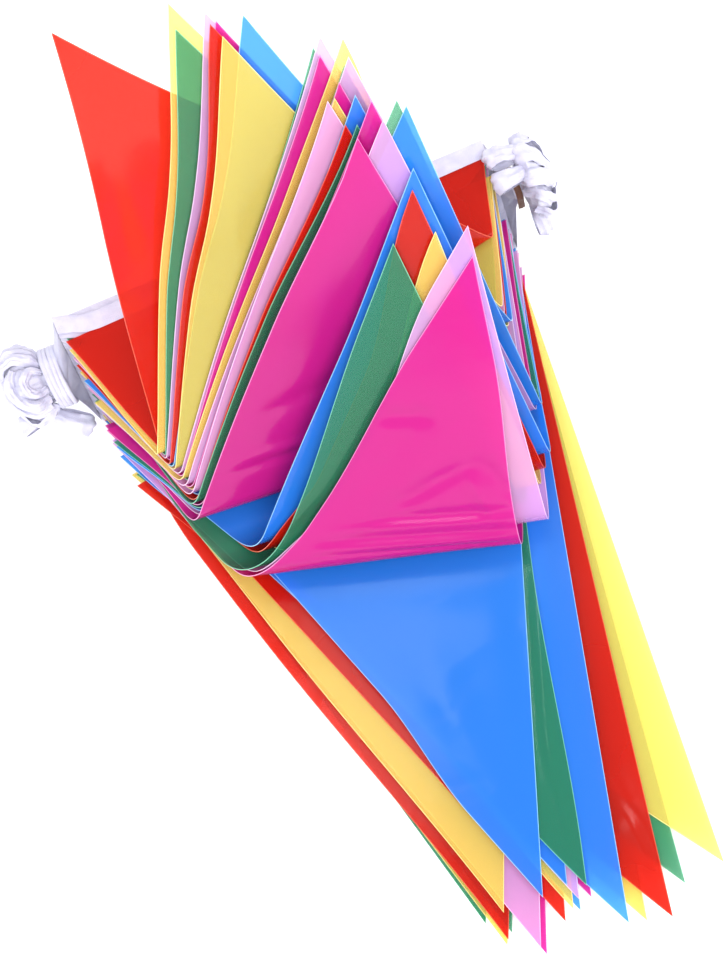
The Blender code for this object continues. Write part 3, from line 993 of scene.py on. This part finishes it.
@dataclass
class HeaderTape:
    """The white tape, folded over every pennant's top edge, back and forth through the stack."""

    over_film: float = 0.6
    half_gap: float = 0.27
    half_height: float = 0.47
    steps: int = 34
    ripple: float = 0.12
    gather: float = 14.0  # how far before the film's corners it turns to its end
    wall: float = 1.0  # the back, where it folds over the film
    round_off: float = 0.5

    WAVE, WAVE_SHIFT = 9.0, 1.7  # the ripple's length, and its change from run to run
    CROWN = 1.06  # how much fuller its top is in the middle

    def line(self, place: Place, layer: int) -> list[Vector]:
        """Return one layer's run, as points on the film's top edge in plan, from left to right.

        Args:
            place: The film's place.
            layer: The film's layer.

        Returns:
            The run's left end, the film's two corners and the run's right end.
        """
        film = FilmPiece(layer=layer, place=place)
        left, right = film.plan(-HALF_WIDTH, 0.0), film.plan(HALF_WIDTH, 0.0)
        end = -LEAN * layer - min(place.slip, 0.0)
        return [Vector((-TAPE_END, end)), left, right, Vector((TAPE_END, end))]

    def run(self, layer: int, place: Place) -> list[list[Vector]]:
        """Return one run's rings, each a slot-shaped section open towards the film.

        Args:
            layer: The film's layer.
            place: The film's place.

        Returns:
            The rings, from left to right.
        """
        left_end, left, right, right_end = self.line(place, layer)
        span = right.x - left.x
        slope = (right.y - left.y) / span
        rings = []
        for step in range(self.steps + 1):
            x = mix(left_end.x, right_end.x, step / self.steps)
            middle = left.lerp(right, min(max((x - left.x) / span, 0.0), 1.0))
            near = ease(abs(x), HALF_WIDTH - self.gather, TAPE_END)
            y = mix(middle.y, (left_end if x < 0 else right_end).y, near)
            back = Vector((-slope * (1 - near), 1.0, 0.0)).normalized()
            sway = self.ripple * math.sin(x / self.WAVE + self.WAVE_SHIFT * layer)
            base = Vector((x, y, layer_height(layer) + sway / 2))
            front, depth = -self.over_film, TAPE_WIDTH + sway
            high, gap, corner, inside = (
                self.half_height, self.half_gap, depth - self.round_off, depth - self.wall
            )
            ring = [base + back * out + Vector((0.0, 0.0, up)) for out, up in (
                (front, high), (depth / 2, high * self.CROWN), (corner, high), (depth, high / 2),
                (depth, -high / 2), (corner, -high), (depth / 2, -high), (front, -high),
                (front, -gap), (inside, -gap / 2), (inside, gap / 2), (front, gap),
            )]
            rings.append(ring)
        return rings

    def build(self, material: Material) -> Object:
        """Build and dress the tape.

        Args:
            material: The tape's material.

        Returns:
            The tape's object.
        """
        draft = MeshDraft()
        for layer, place in enumerate(PLACES):
            draft.add_rings(self.run(layer, place))
        item = draft.piece("header_tape_woven", material, "header_tape", smooth=40.0)
        return item


@dataclass(frozen=True)
class Section:
    """One section of a hank: way out, place in Y, depth below the stack's top and half sizes."""

    out: float
    y: float
    below: float
    half_y: float
    half_z: float
    square: float = 2.0


@dataclass(frozen=True)
class Loop:
    """One loose loop of tape that stands out of a hank; its middle's Z is from the stack's top."""

    middle: Triple
    points: Triple
    wide: Triple
    half_length: float
    half_height: float
    width: float
    curl: float = 1.6


HANK_START = TAPE_END + (PITCH + SHEET) / 2 + AIR
WHOLE_STACK = Section(0.0, -4.5, STACK_TOP / 2, 3.4, STACK_TOP / 2 - 1.0, square=4.0)


@dataclass(frozen=True)
class Strand:
    """One width of tape that lies on a hank: its way as knots of (out, angle, share)."""

    knots: tuple[Triple, ...]
    width: float = 8.0
    tilt: float = 0.0  # how far its one edge stands off the hank
    curl: float = 1.5


@dataclass
class Hank:
    """A hank of gathered tape: what comes from the stack, the neck, and the bundle beyond it."""

    name: str
    side: int
    sections: tuple[Section, ...]
    strands: tuple[Strand, ...]
    loops: tuple[Loop, ...]
    seed: int
    pleats: int
    twist: float  # how far the pleats wind, in radians for each millimetre
    tape_length: float  # of the turns that show, drawn out
    pleat_depth: float = 1.5
    lump: float = 1.6
    sides: int = 168
    ring_step: float = 0.45
    body_share: float = 0.95
    dome: float = 2.4
    run_points: int = 5  # for each of the tape's runs
    gather_rings: int = 22
    gather_fold: float = 1.3

    BLEND = 0.4  # how much of the change between sections is eased
    ROUND_PACE, OUT_PACE = 1.7, 0.09  # how fast its unevenness changes, the way round and out
    LUMP_RISE, LUMP_PACE = 0.4, 0.9
    # The pleats: their wander, and the fine ones' count and twist beside the deep ones'; then how
    # deep and how sharp both are
    WANDER = 1.5
    FINE_COUNT, FINE_TWIST = 1.7, -1.4
    GROOVE, GROOVE_POWER = 0.75, 0.55
    CREASE, CREASE_POWER = 0.45, 0.6
    # A ribbon: its thickness, its columns on each side of the middle, its crumples, its rucks and
    # its thinner edges
    RIBBON = 0.5
    COLUMNS = 5
    COARSE_PACE, CRUMPLE_PACE, CRUMPLE_SHARE = 0.18, 0.45, 0.5
    RUCK, RUCKS, RUCK_STRAY, RUCK_PACE = 0.42, 8, 4, 0.12
    EDGE_FROM, EDGE_SHARE = 0.9, 0.6
    DOME_RINGS, DOME_CLOSE = 9, 9.4  # the dome's rings, and where it would close
    HELD_RUN, HELD_SPOKE = 9.0, 6  # the pleats die out this near the neck and the middle
    NECK_SHARE = 0.94  # the gather's end, inside what binds it
    # The gather: its gaps at both ends, how evenly it draws together, the grooves between its
    # runs, which lose depth, and its folds
    GAP_BEGIN, GAP_END, BACK_SHARE = 0.2, 1.0, 0.95
    DRAWN_EVENLY = 0.5
    RUN_GROOVE, RUN_LOSS, RUN_POWER = 0.8, 0.3, 0.6
    GATHER_FOLDS, GATHER_STRAY = 11, 2.5
    # The strands and loops: their points, where they are pinched and how crumpled they are
    SPLINE_STEPS, LOOP_STEPS = 7, 40
    STRAND_PINCH, STRAND_FULL = 0.6, 0.25
    LOOP_LOW, LOOP_PINCH = 0.35, 0.62
    STRAND_CRUMPLE, LOOP_CRUMPLE = 1.5, 1.6

    def neck(self) -> tuple[float, float, float, float]:
        """Return the neck's way out, its middle in Y and Z, and its radius."""
        at = next(section for section in self.sections[1:] if section.half_y == section.half_z)
        return at.out, at.y, STACK_TOP - at.below, at.half_y

    def at(self, out: float, angle: float, share: float = 1.0) -> Vector:
        """Return a place on the hank's outside, or inside it.

        Args:
            out: The way out from the hank's start.
            angle: The way round, in radians, from +Y over the top.
            share: The share of the way from the middle to the outside.

        Returns:
            The place.
        """
        rows = self.sections
        low, high = next(
            (pair for pair in zip(rows, rows[1:]) if out <= pair[1].out), (rows[-2], rows[-1])
        )
        even = min(max((out - low.out) / (high.out - low.out), 0.0), 1.0)
        part = (1 - self.BLEND) * even + self.BLEND * ease(out, low.out, high.out)

        y, below, half_y, half_z, square = (
            mix(getattr(low, name), getattr(high, name), part)
            for name in ("y", "below", "half_y", "half_z", "square")
        )
        y += powered(math.cos(angle), 2 / square) * half_y * share
        z = powered(math.sin(angle), 2 / square) * half_z * share
        return Vector((self.side * (HANK_START + out), y, STACK_TOP - below + z))

    def pleat(self, out: float, angle: float) -> float:
        """Return how far the gathered tapes lie below the hank's outside: deep only in the grooves.

        Args:
            out: The way out from the hank's start.
            angle: The way round, in radians.

        Returns:
            The depth.
        """
        y, z = math.cos(angle) * self.ROUND_PACE, math.sin(angle) * self.ROUND_PACE
        place = Vector((y, z, out * self.OUT_PACE + self.seed))
        drift = self.WANDER * noise.noise(place)
        turn = self.pleats * angle / 2 + self.twist * out + drift
        fine = self.FINE_COUNT * self.pleats * angle / 2 + self.FINE_TWIST * self.twist * out
        groove = 1 - abs(math.sin(turn)) ** self.GROOVE_POWER
        crease = 1 - abs(math.sin(fine + 2 * drift + 1.0)) ** self.CREASE_POWER
        lump = self.lump * (self.LUMP_RISE - noise.noise(place * self.LUMP_PACE))
        return self.pleat_depth * (self.GROOVE * groove + self.CREASE * crease) + lump

    def ribbon(
        self, draft: MeshDraft, path: list[Vector], wide: Callable[[int, Vector], Vector],
        width: Callable[[float], float], curl: float, crumple: float, closed: bool = False,
    ) -> None:
        """Add one ribbon of tape along a path.

        Args:
            draft: Where its points and faces go.
            path: The middle line's points.
            wide: Gives the way the tape's width lies, from a point's number and the path's direction.
            width: Gives the tape's width from the share of the way along.
            curl: How far the tape's middle stands off its edges.
            crumple: How uneven the tape's face is.
            closed: Whether the path closes on itself.
        """
        count = len(path)
        seed = Vector((self.seed, 0.0, 0.0))
        rings = []
        for number, place in enumerate(path):
            before = path[(number - 1) % count] if closed or number else path[0]
            after = path[(number + 1) % count] if closed or number < count - 1 else path[-1]
            way = (after - before).normalized()
            across = wide(number, way)
            across = (across - way * across.dot(way)).normalized()
            normal = across.cross(way)
            half = width(number / (count - 1)) / 2
            top, bottom = [], []
            for column in range(2 * self.COLUMNS + 1):
                share = column / self.COLUMNS - 1
                arch = 1 - share * share
                spot = place + across * half * share
                rough = noise.noise(spot * self.COARSE_PACE + seed)
                rough += self.CRUMPLE_SHARE * noise.noise(spot * self.CRUMPLE_PACE + seed)
                stray = self.RUCK_STRAY * noise.noise(spot * self.RUCK_PACE)
                ruck = self.RUCK * math.sin(self.RUCKS * share + stray) * arch
                spot = spot + normal * (curl * arch + crumple * rough + ruck)
                edge = 1.0 if abs(share) < self.EDGE_FROM else self.EDGE_SHARE
                skin = normal * self.RIBBON / 2 * edge
                top.append(spot + skin)
                bottom.append(spot - skin)
            rings.append([*top, *reversed(bottom)])
        draft.add_rings(rings, closed)

    @staticmethod
    def spline(knots: Sequence[Vector], steps: int) -> list[Vector]:
        """Return a smooth open curve's points through its knots.

        Args:
            knots: The curve's knots.
            steps: How many points it has for each knot.

        Returns:
            The points, both ends with them.
        """
        found = []
        ends = [knots[0] * 2 - knots[1], *knots, knots[-1] * 2 - knots[-2]]
        for a, b, c, d in zip(ends, ends[1:], ends[2:], ends[3:]):
            for step in range(steps):
                t = step / steps
                found.append(
                    0.5 * (b * 2 + (c - a) * t + (a * 2 - b * 5 + c * 4 - d) * t * t
                           + (b * 3 - a - c * 3 + d) * t ** 3)
                )
        found.append(knots[-1].copy())
        return found

    def add_body(self, draft: MeshDraft) -> None:
        """Add the gathered tapes themselves: one puffy bundle with deep pleats, domed at its end.

        Args:
            draft: Where its points and faces go.
        """
        begin, last = self.sections[2].out, self.sections[-1].out
        count = round((last - begin) / self.ring_step)
        rows = [(begin + (last - begin) * step / count, 1.0) for step in range(count + 1)]
        for step in range(1, self.DOME_RINGS + 1):
            turn = math.pi / 2 * step
            rows.append((
                last + self.dome * math.sin(turn / self.DOME_RINGS), math.cos(turn / self.DOME_CLOSE)
            ))
        rings = []
        for out, shrink in rows:
            ring = []
            for number in range(self.sides):
                angle = math.tau * number / self.sides
                outside = self.at(min(out, last), angle, self.body_share * shrink)
                middle = self.at(min(out, last), angle, 0.0)
                spoke = outside - middle
                free = ease(out, begin, begin + self.HELD_RUN)
                free *= min(1.0, spoke.length / self.HELD_SPOKE)
                place = outside - spoke.normalized() * self.pleat(out, angle) * free
                place.x = self.side * (HANK_START + out)
                ring.append(place)
            rings.append(ring)
        draft.add_rings(rings)

    def add_gather(self, draft: MeshDraft) -> None:
        """Add the tape's runs as they leave the stack and draw together into the neck.

        Args:
            draft: Where its points and faces go.
        """
        out, y, z, radius = self.neck()
        radius *= self.NECK_SHARE
        count, even = LAYERS * self.run_points, self.DRAWN_EVENLY
        rings = []
        for step in range(self.gather_rings + 1):
            share = step / self.gather_rings
            drawn = even * share + (1 - even) * ease(share, 0.0, 1.0)
            ring = []
            for edge in (1, -1):
                for number in range(count + 1):
                    down = number / count if edge > 0 else 1 - number / count
                    layer, high = down * LAYERS - 0.5, 1 - 2 * down
                    begin = Vector((
                        self.side * (TAPE_END + self.GAP_BEGIN),
                        TAPE_WIDTH / 2 * (1 + self.BACK_SHARE * edge) - LEAN * layer,
                        min(layer_height(layer), STACK_TOP - FLOOR_GAP),
                    ))
                    end = Vector((
                        self.side * (HANK_START + out + self.GAP_END),
                        y + edge * radius * math.sqrt(max(1 - high * high, 0.0)), z + high * radius,
                    ))
                    ridge = abs(math.sin(math.pi * down * LAYERS)) ** self.RUN_POWER
                    stray = self.GATHER_STRAY * uneven(high * 2, edge, self.seed)
                    fold = self.gather_fold * math.sin(self.GATHER_FOLDS * high + stray)
                    groove = (self.RUN_GROOVE - self.RUN_LOSS * share) * (1 - ridge)
                    place = begin.lerp(end, drawn)
                    place.y -= edge * (groove - fold * math.sqrt(share))
                    ring.append(place)
            rings.append(ring)
        draft.add_rings(rings)

    def add_strand(self, draft: MeshDraft, strand: Strand) -> None:
        """Add one width of tape that lies on the bundle.

        Args:
            draft: Where its points and faces go.
            strand: The width of tape.
        """
        knots = [self.at(out, math.radians(angle), share) for out, angle, share in strand.knots]
        middles = [self.at(out, 0.0, 0.0) for out, _, _ in strand.knots]
        path, axis = (self.spline(points, self.SPLINE_STEPS) for points in (knots, middles))

        def wide(number: int, way: Vector) -> Vector:
            """Lie flat on the bundle, or a little off it."""
            spoke = (path[number] - axis[number]).normalized()
            return way.cross(spoke) + spoke * strand.tilt

        def width(share: float) -> float:
            """Widen from the pinched end that the binding holds."""
            return strand.width * mix(self.STRAND_PINCH, 1.0, ease(share, 0.0, self.STRAND_FULL))

        self.ribbon(draft, path, wide, width, strand.curl, self.STRAND_CRUMPLE)

    def add_loop(self, draft: MeshDraft, loop: Loop) -> None:
        """Add one loose loop, pinched where it leaves the hank.

        Args:
            draft: Where its points and faces go.
            loop: The loop.
        """
        way = Vector(loop.points).normalized()
        wide = Vector(loop.wide)
        wide = (wide - way * wide.dot(way)).normalized()
        up = way.cross(wide)
        middle = Vector(loop.middle) + Vector((0.0, 0.0, STACK_TOP))
        path, widths = [], []
        for step in range(self.LOOP_STEPS):
            angle = math.tau * step / self.LOOP_STEPS
            far = (1 + math.cos(angle)) / 2
            height = loop.half_height * mix(self.LOOP_LOW, 1.0, far)
            along = way * loop.half_length * math.cos(angle)
            path.append(middle + along + up * height * math.sin(angle))
            widths.append(loop.width * mix(self.LOOP_PINCH, 1.0, far))
        self.ribbon(
            draft, path, lambda number, _: wide,
            lambda share: widths[int(share * (self.LOOP_STEPS - 1))],
            loop.curl, self.LOOP_CRUMPLE, closed=True,
        )

    def build(self, material: Material, binding: Object) -> Object:
        """Build and dress the hank.

        Args:
            material: The tape's material.
            binding: The piece that holds its neck; not used.

        Returns:
            The hank's object.
        """
        draft = MeshDraft()
        self.add_body(draft)
        self.add_gather(draft)
        for strand in self.strands:
            self.add_strand(draft, strand)
        for loop in self.loops:
            self.add_loop(draft, loop)
        item = draft.piece(f"{self.name}_tape", material, self.name, smooth=50.0)
        return item


# Angles run from +Y (0) over the top (90) to -Y (180) and round below. A section's numbers are
# its way out, Y, depth below the stack's top, half sizes in Y and Z, and squareness.
LEFT_HANK = Hank(
    name="left_hank", side=-1, seed=4, pleats=15, twist=0.10, tape_length=360.0,
    sections=(
        WHOLE_STACK,
        *table(
            Section,
            (2.5, -6.0, 28.3, 9.0, 20.0, 2.4), (4.0, -7.0, 27.9, 12.0, 12.0),
            (13.0, -7.0, 27.9, 12.0, 12.0), (15.0, -6.5, 28.9, 15.5, 15.0),
            (19.0, -5.5, 30.4, 17.0, 17.5, 2.2), (24.0, -4.5, 31.4, 16.5, 17.5, 2.2),
            (28.0, -3.5, 31.9, 14.0, 15.0, 2.1), (30.5, -3.0, 31.9, 9.5, 10.0),
        ),
    ),
    strands=(
        # Pleated tapes that fan from the winding over the top to the hank's end
        Strand(((12.5, 12, 0.96), (17, 14, 1.0), (24, 20, 1.03), (30, 24, 0.9), (31, 26, 0.5)),
               5.0, 0.25),
        Strand(((12.5, 34, 0.96), (17, 35, 1.01), (24, 36, 1.05), (30, 38, 0.92), (31, 40, 0.5)),
               5.5, 0.4),
        Strand(((12.5, 52, 0.97), (17, 53, 1.02), (24, 52, 1.06), (30, 50, 0.95), (31, 50, 0.5)),
               5.0, 0.35),
        Strand(((12.5, 70, 0.97), (17, 69, 1.02), (23, 66, 1.05), (29, 64, 0.99), (31, 64, 0.5)),
               5.5, 0.3),
        Strand(((12.5, 176, 0.97), (17, 180, 1.0), (24, 184, 1.02), (30, 188, 0.8)), 6.5, 0.2),
        # A loose turn beside the winding
        Strand(((13, 88, 0.98), (17, 90, 1.06), (20.5, 100, 1.08), (21, 114, 1.07),
                (18, 124, 1.04), (13.5, 126, 0.98)), 4.5, 0.5, 1.2),
        Strand(((24, 82, 1.0), (27.5, 98, 1.02), (28, 116, 1.02), (25.5, 134, 1.03),
                (20, 144, 1.02), (13.5, 146, 0.99)), 5.5, 0.4),
        Strand(((30, 100, 0.96), (30, 128, 0.98), (27, 150, 1.02), (21, 162, 1.02),
                (14, 164, 0.99)), 5.0, 0.3),
    ),
    loops=(
        Loop(middle=(-113.8, -21.7, -44.3), points=(0.75, -0.6, -0.25), wide=(0.5, 0.75, 0.45),
             half_length=9.5, half_height=5.0, width=10.0),
        Loop(middle=(-126.0, -17.0, -39.9), points=(-1.0, -0.1, -0.2), wide=(-0.1, 1.0, 0.15),
             half_length=8.5, half_height=3.0, width=9.5),
    ),
)
RIGHT_HANK = Hank(
    name="right_hank", side=1, seed=9, pleats=13, twist=-0.14, tape_length=430.0,
    sections=(
        WHOLE_STACK,
        *table(
            Section,
            (2.0, -6.5, 23.9, 8.0, 18.0, 2.4), (3.5, -9.0, 18.9, 6.8, 6.8),
            (7.5, -9.0, 18.9, 6.8, 6.8), (9.0, -10.0, 15.9, 13.0, 19.0, 2.2),
            (12.0, -11.0, 14.9, 16.0, 23.0, 2.4), (16.0, -11.5, 16.9, 15.5, 21.0, 2.3),
            (19.0, -11.5, 18.9, 12.0, 15.0, 2.2), (20.5, -11.5, 18.9, 6.0, 7.0),
        ),
    ),
    strands=(
        Strand(((8.5, 50, 0.86), (11, 46, 0.99), (15, 44, 1.02), (19, 42, 0.98), (21, 42, 0.5)),
               8.0, 0.3, 1.3),
        Strand(((8.5, 84, 0.86), (11, 80, 1.0), (15, 78, 1.04), (19, 76, 0.98), (21, 76, 0.5)),
               9.0, -0.25, 1.5),
        Strand(((8.5, 118, 0.86), (11, 116, 1.0), (15, 114, 1.03), (19, 116, 0.98), (21, 118, 0.5)),
               8.5, 0.25, 1.4),
        Strand(((8.5, 148, 0.90), (12.5, 152, 1.0), (16, 158, 1.03), (20, 164, 0.8)), 8.5, -0.2, 1.4),
        Strand(((9.5, 14, 0.92), (13, 12, 1.0), (17, 10, 1.02), (20.5, 6, 0.7)), 8.0, 0.2, 1.3),
        Strand(((10, 186, 0.95), (14, 190, 1.0), (18, 194, 1.0), (20.5, 198, 0.6)), 7.5, 0.2, 1.3),
    ),
    loops=(
        Loop(middle=(108.0, -4.0, 3.5), points=(-1.0, 0.15, 0.1), wide=(0.1, 1.0, -0.1),
             half_length=7.5, half_height=4.0, width=10.0, curl=1.5),
        Loop(middle=(107.5, -13.5, 1.0), points=(-1.0, -0.05, 0.0), wide=(-0.1, 1.0, 0.25),
             half_length=7.5, half_height=4.0, width=10.0, curl=1.5),
        Loop(middle=(116.6, 1.5, -11.5), points=(0.3, 1.0, 0.2), wide=(1.0, -0.3, 0.2),
             half_length=6.0, half_height=3.6, width=9.0, curl=1.4),
        Loop(middle=(115.0, -24.0, -28.9), points=(0.1, -1.0, -0.4), wide=(1.0, 0.1, 0.0),
             half_length=7.0, half_height=4.6, width=9.0, curl=1.4),
    ),
)


@dataclass
class Winding:
    """The tape wound round the left hank's neck, in one rope-like helix."""

    hank: Hank
    out: float = 4.9
    turns: float = 4.0
    turn_width: float = 1.95
    depth: float = 2.0
    steps: int = 60
    corners: int = 20
    slant: float = 0.9

    SLANT_START = 0.6
    # Its swelling and straying along the way, then its ends, which thin out
    SWELL, SWELL_PACE, STRAY, STRAY_PACE = 0.5, 0.09, 0.5, 0.05
    END_STEPS, END_DEPTH = 6, 0.4
    # Its section's half width and squareness, and how it is rumpled
    HALF_WIDE, WIDE_SWELL, SQUARE = 0.6, 0.5, 0.7
    RUMPLE, RUMPLE_PACE, RUMPLE_ROUND = 0.28, 0.3, 0.9

    def build(self, material: Material) -> Object:
        """Build and dress the winding.

        Args:
            material: The tape's material.

        Returns:
            The winding's object.
        """
        _, y, z, radius = self.hank.neck()
        inner = radius + AIR
        draft = MeshDraft()
        rings = []
        total = int(self.turns * self.steps)
        for number in range(total + 1):
            angle = math.tau * number / self.steps
            out = self.out + self.turn_width * (number / self.steps - 0.5)
            out += self.slant * math.sin(angle + self.SLANT_START)
            swell = self.SWELL * uneven(number * self.SWELL_PACE, 3.0)
            out += self.STRAY * uneven(number * self.STRAY_PACE, 8.0)
            whole = ease(number, 0, self.END_STEPS) * (1 - ease(number, total - self.END_STEPS, total))
            ring = []
            for corner in range(self.corners):
                turn = math.tau * corner / self.corners
                wide = self.turn_width * (self.HALF_WIDE + swell * self.WIDE_SWELL)
                high = powered(math.sin(turn), self.SQUARE)
                deep = self.depth / 2 * (1 + high * (1 + swell)) * mix(self.END_DEPTH, 1.0, whole)
                rumple = uneven(number * self.RUMPLE_PACE, turn * self.RUMPLE_ROUND, 5.0)
                reach = inner + deep + self.RUMPLE * rumple * max(high, 0.0)
                ring.append(Vector((
                    self.hank.side * (HANK_START + out + math.cos(turn) * wide),
                    y + reach * math.cos(angle), z + reach * math.sin(angle),
                )))
            rings.append(ring)
        draft.add_rings(rings)
        return draft.piece("left_winding_tape", material, "left_winding", smooth=60.0)


@dataclass
class WireTie:
    """The flat paper-covered wire round the right hank's neck, with one free tail."""

    hank: Hank
    out: float = 4.0
    width: float = 3.0
    depth: float = 1.0
    start: float = 200.0
    arc: float = 290.0
    steps: int = 60
    tail: float = 9.0
    tail_lift: float = 0.33
    tail_steps: int = 10

    # Its section as shares of its width and depth: thin paper, pressed round the wire
    SECTION = (
        (0.0, -0.18), (0.35, -0.25), (0.5, -0.5), (0.65, -0.25), (1.0, -0.18),
        (1.0, 0.18), (0.65, 0.25), (0.5, 0.5), (0.35, 0.25), (0.0, 0.18),
    )
    WRINKLE, WRINKLE_PACE = 0.12, 0.6

    def build(self, material: Material) -> Object:
        """Build and dress the tie.

        Args:
            material: The paper's material.

        Returns:
            The tie's object.
        """
        _, y, z, radius = self.hank.neck()
        reach = radius + AIR + self.depth / 2
        path = []
        for step in range(self.steps + 1):
            angle = math.radians(self.start - self.arc * step / self.steps)
            out = Vector((0.0, math.cos(angle), math.sin(angle)))
            path.append((Vector((0.0, y, z)) + out * reach, out))
        place, out = path[0]
        onward = Vector((0.0, -out.z, out.y))
        for step in range(1, self.tail_steps + 1):
            length = self.tail * step / self.tail_steps
            path.insert(0, (place + (onward + out * self.tail_lift) * length, out))
        start = HANK_START + self.out
        draft = MeshDraft()
        rings = []
        for number, (spot, out) in enumerate(path):
            wrinkle = self.WRINKLE * uneven(number * self.WRINKLE_PACE, 1.0)
            ring = []
            for across, up in self.SECTION:
                sidestep = Vector((start + across * self.width + wrinkle, 0.0, 0.0))
                ring.append(spot + out * up * self.depth + sidestep)
            rings.append(ring)
        draft.add_rings(rings)
        return draft.piece("wire_tie_paper", material, "wire_tie", smooth=60.0)


# ---------------- studio


@dataclass
class SoftLight:
    """One softbox: where it hangs, what it aims at, its size in metres and its power."""

    name: str
    place: Triple
    size: Pair
    watts: float
    turn: float = 0.0  # about its own axis
    colour: str = "FFFFFF"


@dataclass
class Studio:
    """The pale floor, the soft lights and the camera."""

    image_height: int = 958
    scale: float = 0.439  # millimetres for each pixel, at the target
    target: Triple = (-2.7, 7.0, 29.1)
    tilt: float = 18.0
    roll: float = 22.46
    distance: float = 1500.0
    sensor: float = 36.0
    clip: Pair = (0.05, 50.0)  # in metres
    floor_size: float = 6.0
    floor_colour: str = "FBFBFB"
    floor_roughness: float = 0.9
    floor_specular: float = 0.2
    air_colour: str = "FFFFFF"
    air_light: float = 0.84
    films_seen: int = 9
    aim: Triple = (0.0, 0.0, 0.08)  # of the lights, in metres
    grain: float = 60.0  # for each metre
    grain_depth: float = 0.0001
    lights: tuple[SoftLight, ...] = (
        SoftLight("front_softbox", (-0.7, -1.9, 1.2), (1.6, 1.0), 25.0),
        SoftLight("camera_softbox", (0.1, -0.85, 1.85), (1.2, 1.0), 31.0),
        SoftLight("right_softbox", (1.7, -0.4, 0.8), (0.7, 1.2), 13.0),
        SoftLight("left_softbox", (-1.7, 0.1, 0.7), (0.7, 1.0), 9.0),
        SoftLight("rear_softbox", (0.2, 1.9, 0.9), (1.6, 0.8), 12.0),
        SoftLight("streak_panel", (0.36, 0.14, 0.70), (0.10, 0.30), 0.8),
        SoftLight("mirror_panel", (-0.03, 0.095, 0.78), (0.17, 0.15), 0.3, turn=16.0),
    )

    def add_camera(self) -> Object:
        """Add the camera at the photograph's angle.

        Returns:
            The camera.
        """
        tilt, roll = math.radians(self.tilt), math.radians(self.roll)
        ahead = Vector((0.0, math.sin(tilt), -math.cos(tilt)))
        flat_right, flat_up = Vector((1.0, 0.0, 0.0)), Vector((0.0, math.cos(tilt), math.sin(tilt)))
        right = flat_right * math.cos(roll) - flat_up * math.sin(roll)
        up = flat_right * math.sin(roll) + flat_up * math.cos(roll)
        data = bpy.data.cameras.new("camera")
        data.sensor_fit = "VERTICAL"
        data.sensor_height = self.sensor
        data.lens = self.distance / self.scale * self.sensor / self.image_height
        data.clip_start, data.clip_end = self.clip
        camera = add_object("camera", data)
        matrix = camera.matrix_world.to_3x3()
        for row in range(3):
            matrix[row] = (right[row], up[row], -ahead[row])
        camera.matrix_world = matrix.to_4x4()
        camera.location = (Vector(self.target) - ahead * self.distance) * MM
        bpy.context.scene.camera = camera
        return camera

    def add_light(self, light: SoftLight) -> Object:
        """Add one softbox that faces the bundle.

        Args:
            light: The softbox.

        Returns:
            The lamp.
        """
        data = bpy.data.lights.new(light.name, "AREA")
        data.shape = "RECTANGLE"
        data.size, data.size_y = light.size
        data.energy = light.watts
        data.color = linear(light.colour)[:3]
        item = add_object(light.name, data)
        item.location = light.place
        way = Vector(self.aim) - Vector(light.place)
        item.rotation_euler = way.to_track_quat("-Z", "Y").to_euler()
        item.rotation_euler.rotate_axis("Z", math.radians(light.turn))
        return item

    def add_floor(self) -> Object:
        """Add the plain pale floor: matt painted board, with the faintest unevenness.

        Returns:
            The floor.
        """
        material, tree, surface = new_material("matt_painted_board")
        place = add_node(tree, "TexCoord", out="Object")
        grain = add_node(tree, "TexNoise", {"Vector": place, "Scale": self.grain})
        solid = add_node(tree, "BsdfPrincipled", {
            "Base Color": linear(self.floor_colour), "Roughness": self.floor_roughness,
            "Specular IOR Level": self.floor_specular,
            "Normal": add_node(tree, "Bump", {"Height": grain, "Distance": self.grain_depth}),
        })
        tree.links.new(solid, surface)
        half = self.floor_size / 2
        corners = [(x * half, y * half, 0.0) for x, y in ((-1, -1), (1, -1), (1, 1), (-1, 1))]
        mesh = bpy.data.meshes.new("floor")
        mesh.from_pydata(corners, [], [(0, 1, 2, 3)])
        mesh.materials.append(material)
        floor = add_object("floor", mesh)
        return floor

    def build(self) -> None:
        """Set up the floor, the air's even light, the softboxes and the camera."""
        scene = bpy.context.scene
        world = bpy.data.worlds.new("studio_air")
        scene.world = world
        world.use_nodes = True
        background = world.node_tree.nodes["Background"]
        background.inputs["Color"].default_value = linear(self.air_colour)
        background.inputs["Strength"].default_value = self.air_light
        self.add_floor()
        for light in self.lights:
            self.add_light(light)
        self.add_camera()
        # Plain colour, because a filmic curve dulls the films' strong dyes
        scene.view_settings.view_transform = "Standard"
        # Nothing shows through more films than this
        scene.cycles.transparent_max_bounces = 2 * self.films_seen


def main() -> None:
    """Build and dress the whole bundle, piece by piece."""
    logging.basicConfig(level=logging.INFO, format="%(name)s: %(message)s")
    Studio().build()
    FilmStack().build()
    woven = TapeFinish().material()
    header = HeaderTape().build(woven)
    winding = Winding(hank=LEFT_HANK).build(woven)
    tie = WireTie(hank=RIGHT_HANK).build(TieFinish().material())
    hanks = [LEFT_HANK.build(woven, winding), RIGHT_HANK.build(woven, tie)]
    for item in (header, winding, tie, *hanks):
        LOG.info("%s: %d faces", item.name, len(item.data.polygons))


if __name__ == "__main__":
    main()
